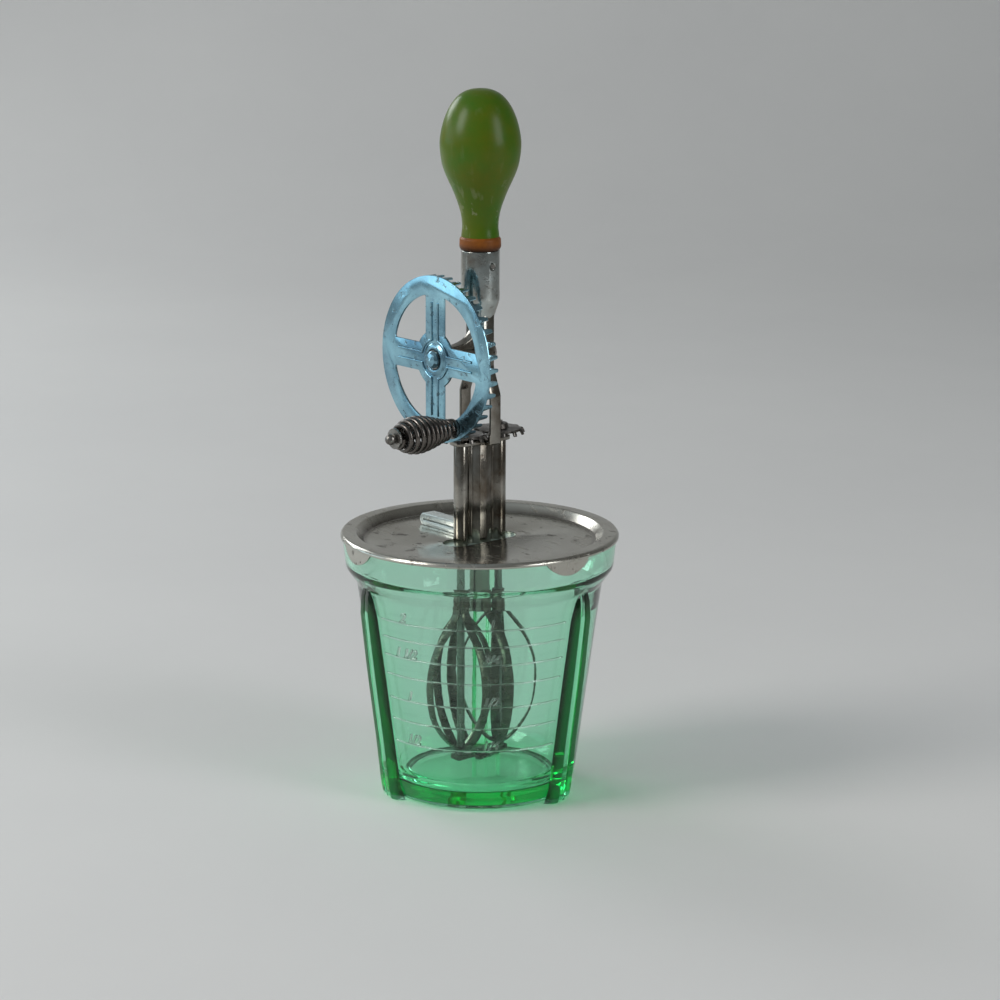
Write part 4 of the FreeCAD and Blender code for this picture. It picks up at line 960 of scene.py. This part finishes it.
# latch: one strip folded back over itself, with its tongue at the sleeve
latchPart = {"tip": -5.0, "end": -40.0, "half": 3.4, "low": 118.7, "lowTop": 121.0, "fold": 121.7, "top": 124.4}
low, lowTop, fold, top = [latchPart[key] for key in ("low", "lowTop", "fold", "top")]
latchLine = [(latchPart["tip"], low), (latchPart["tip"], lowTop), (-9, lowTop, 0.5), (-37.6, lowTop, 0.4),
             (-37.6, fold, 0.4), (-10.5, fold), (-10.5, top, 0.4), (-38.0, top, 2.4),
             (latchPart["end"], 121.5, 2.4), (-38.0, low, 2.4)]
latch = sheetBand("latch_strip", rounded(latchLine, 5), -latchPart["half"], latchPart["half"])
notch = plate("latch_notch", rounded([(-9.5, 2.2, 0.8), (0, 2.2), (0, 8), (-9.5, 8)], 4, True), 115, 125)
otherNotch = notch.copy()
otherNotch.data = notch.data.copy()
bpy.context.collection.objects.link(otherNotch)
spinPiece(otherNotch, 180, "X", (0, 0, 120))
boolean(latch, otherNotch)
boolean(latch, notch)
bevel(latch, 0.3, 2, 40)
smooth(latch, 38)
give(latch, "latch", latchMetal, "lid_plate", "lid_latch")
print("stage: latch made")

# the carried CAD pieces get a live edge round and their own finish
carriedEdge = {"width": 0.25, "segments": 2, "angle": 38}
carried = {"lid_keeper": keeperReflectionMetal, "handle_tang": steel, "ferrule_pin": steel, "axle_stud": steel,
           "axle_spacer": nickel, "hub_washer": steel, "hub_cap": wheelMetal,
           "front_spindle": steel, "rear_spindle": steel, "pivot_bridge": tin, "guard_rivets": steel,
           "crank_pin": steel, "grip_inner_cup": steel, "grip_outer_cup": steel}
for name, finish in carried.items():
    obj = nodes[name]
    obj.data.materials.clear()
    obj.data.materials.append(finish)
    edgeRound(obj, **carriedEdge)
print("stage: carried pieces dressed")

# floor that sweeps up into a backdrop, square to the camera
floorPart = {"behind": 2300, "before": -2600, "high": 2600, "bend": 900, "wide": 6000,
             "pale": (0.72, 0.71, 0.695), "shady": (0.68, 0.67, 0.66), "rough": 0.7}
sweepLine = [(floorPart["before"], 0), (floorPart["behind"], 0, floorPart["bend"]),
             (floorPart["behind"], floorPart["high"])]
sweep = draw("floor", rounded(sweepLine, 24), closed=False)
bpy.ops.transform.translate(value=(0, -floorPart["wide"] / 2 * mm, 0))
pull((0, floorPart["wide"], 0))
bpy.ops.mesh.select_all(action="SELECT")
turnBy(view["azimuth"] + 90, "Z")
closeEdit()
smooth(sweep, 40)
floorMaterial, floorTree, floorShader, floorVector = startMaterial("paleFloor")
floorTone = useStains(floorTree, floorVector, 2, 0.3, 0.7)
floorMix = mixColour(floorTree, floorTone, floorPart["pale"], floorPart["shady"])
link(floorTree, floorMix, floorShader.inputs["Base Color"])
floorShader.inputs["Roughness"].default_value = floorPart["rough"]
sweep.data.materials.append(floorMaterial)


# soft lamps: (place, what each points at, size in metres, watts, colour)
lamps = {"keyLight": ((-0.5, -1.5, 1.2), (0, 0, 0.17), (0.7, 0.9), 17, (1, 0.985, 0.96)),
         "sideLight": ((1.3, 0.35, 0.7), (0, 0, 0.17), (0.5, 0.9), 7, (0.96, 0.98, 1)),
         "windowLight": ((-1.05, -0.9, 0.45), (0, 0, 0.22), (0.8, 0.5), 1.9, (0.66, 0.88, 1)),
         "backLight": ((-1.9, -0.1, 1.0), (0, 0, 0.15), (0.9, 0.7), 12, (0.94, 0.98, 1))}
for name, (spot, aimAt, size, power, colour) in lamps.items():
    bpy.ops.object.light_add(type="AREA", location=spot)
    light = bpy.context.object
    light.name = name
    light.visible_camera = False
    light.data.shape = "RECTANGLE"
    light.data.size, light.data.size_y = size
    light.data.energy = power
    light.data.color = colour
    way = [aimAt[i] - spot[i] for i in range(3)]
    lean = math.atan2(math.hypot(way[0], way[1]), -way[2])
    light.rotation_euler = (lean, 0, math.atan2(way[1], way[0]) - math.pi / 2)

# the room is brighter and a little bluer on the camera's left
room = {"dim": (0.55, 0.56, 0.55), "bright": (1.25, 1.38, 1.46), "from": -0.35, "to": 0.75, "up": 0.25,
        "strength": 0.26}
world = bpy.data.worlds.new("paleRoom")
world.use_nodes = True
worldTree = world.node_tree
skyCoords = worldTree.nodes.new("ShaderNodeTexCoord")
skySide = worldTree.nodes.new("ShaderNodeVectorMath")
skySide.operation = "DOT_PRODUCT"
skySide.inputs[1].default_value = (-right[0], -right[1], room["up"])
link(worldTree, skyCoords.outputs["Generated"], skySide.inputs[0])
skyRamp = worldTree.nodes.new("ShaderNodeMapRange")
skyRamp.interpolation_type = "SMOOTHSTEP"
skyRamp.inputs["From Min"].default_value = room["from"]
skyRamp.inputs["From Max"].default_value = room["to"]
link(worldTree, skySide.outputs["Value"], skyRamp.inputs["Value"])
skyColour = mixColour(worldTree, skyRamp.outputs["Result"], room["dim"], room["bright"])
sky = worldTree.nodes["Background"]
link(worldTree, skyColour, sky.inputs["Color"])
sky.inputs["Strength"].default_value = room["strength"]
bpy.context.scene.world = world
bpy.context.scene.view_settings.view_transform = "Standard"
print("stage: light set")
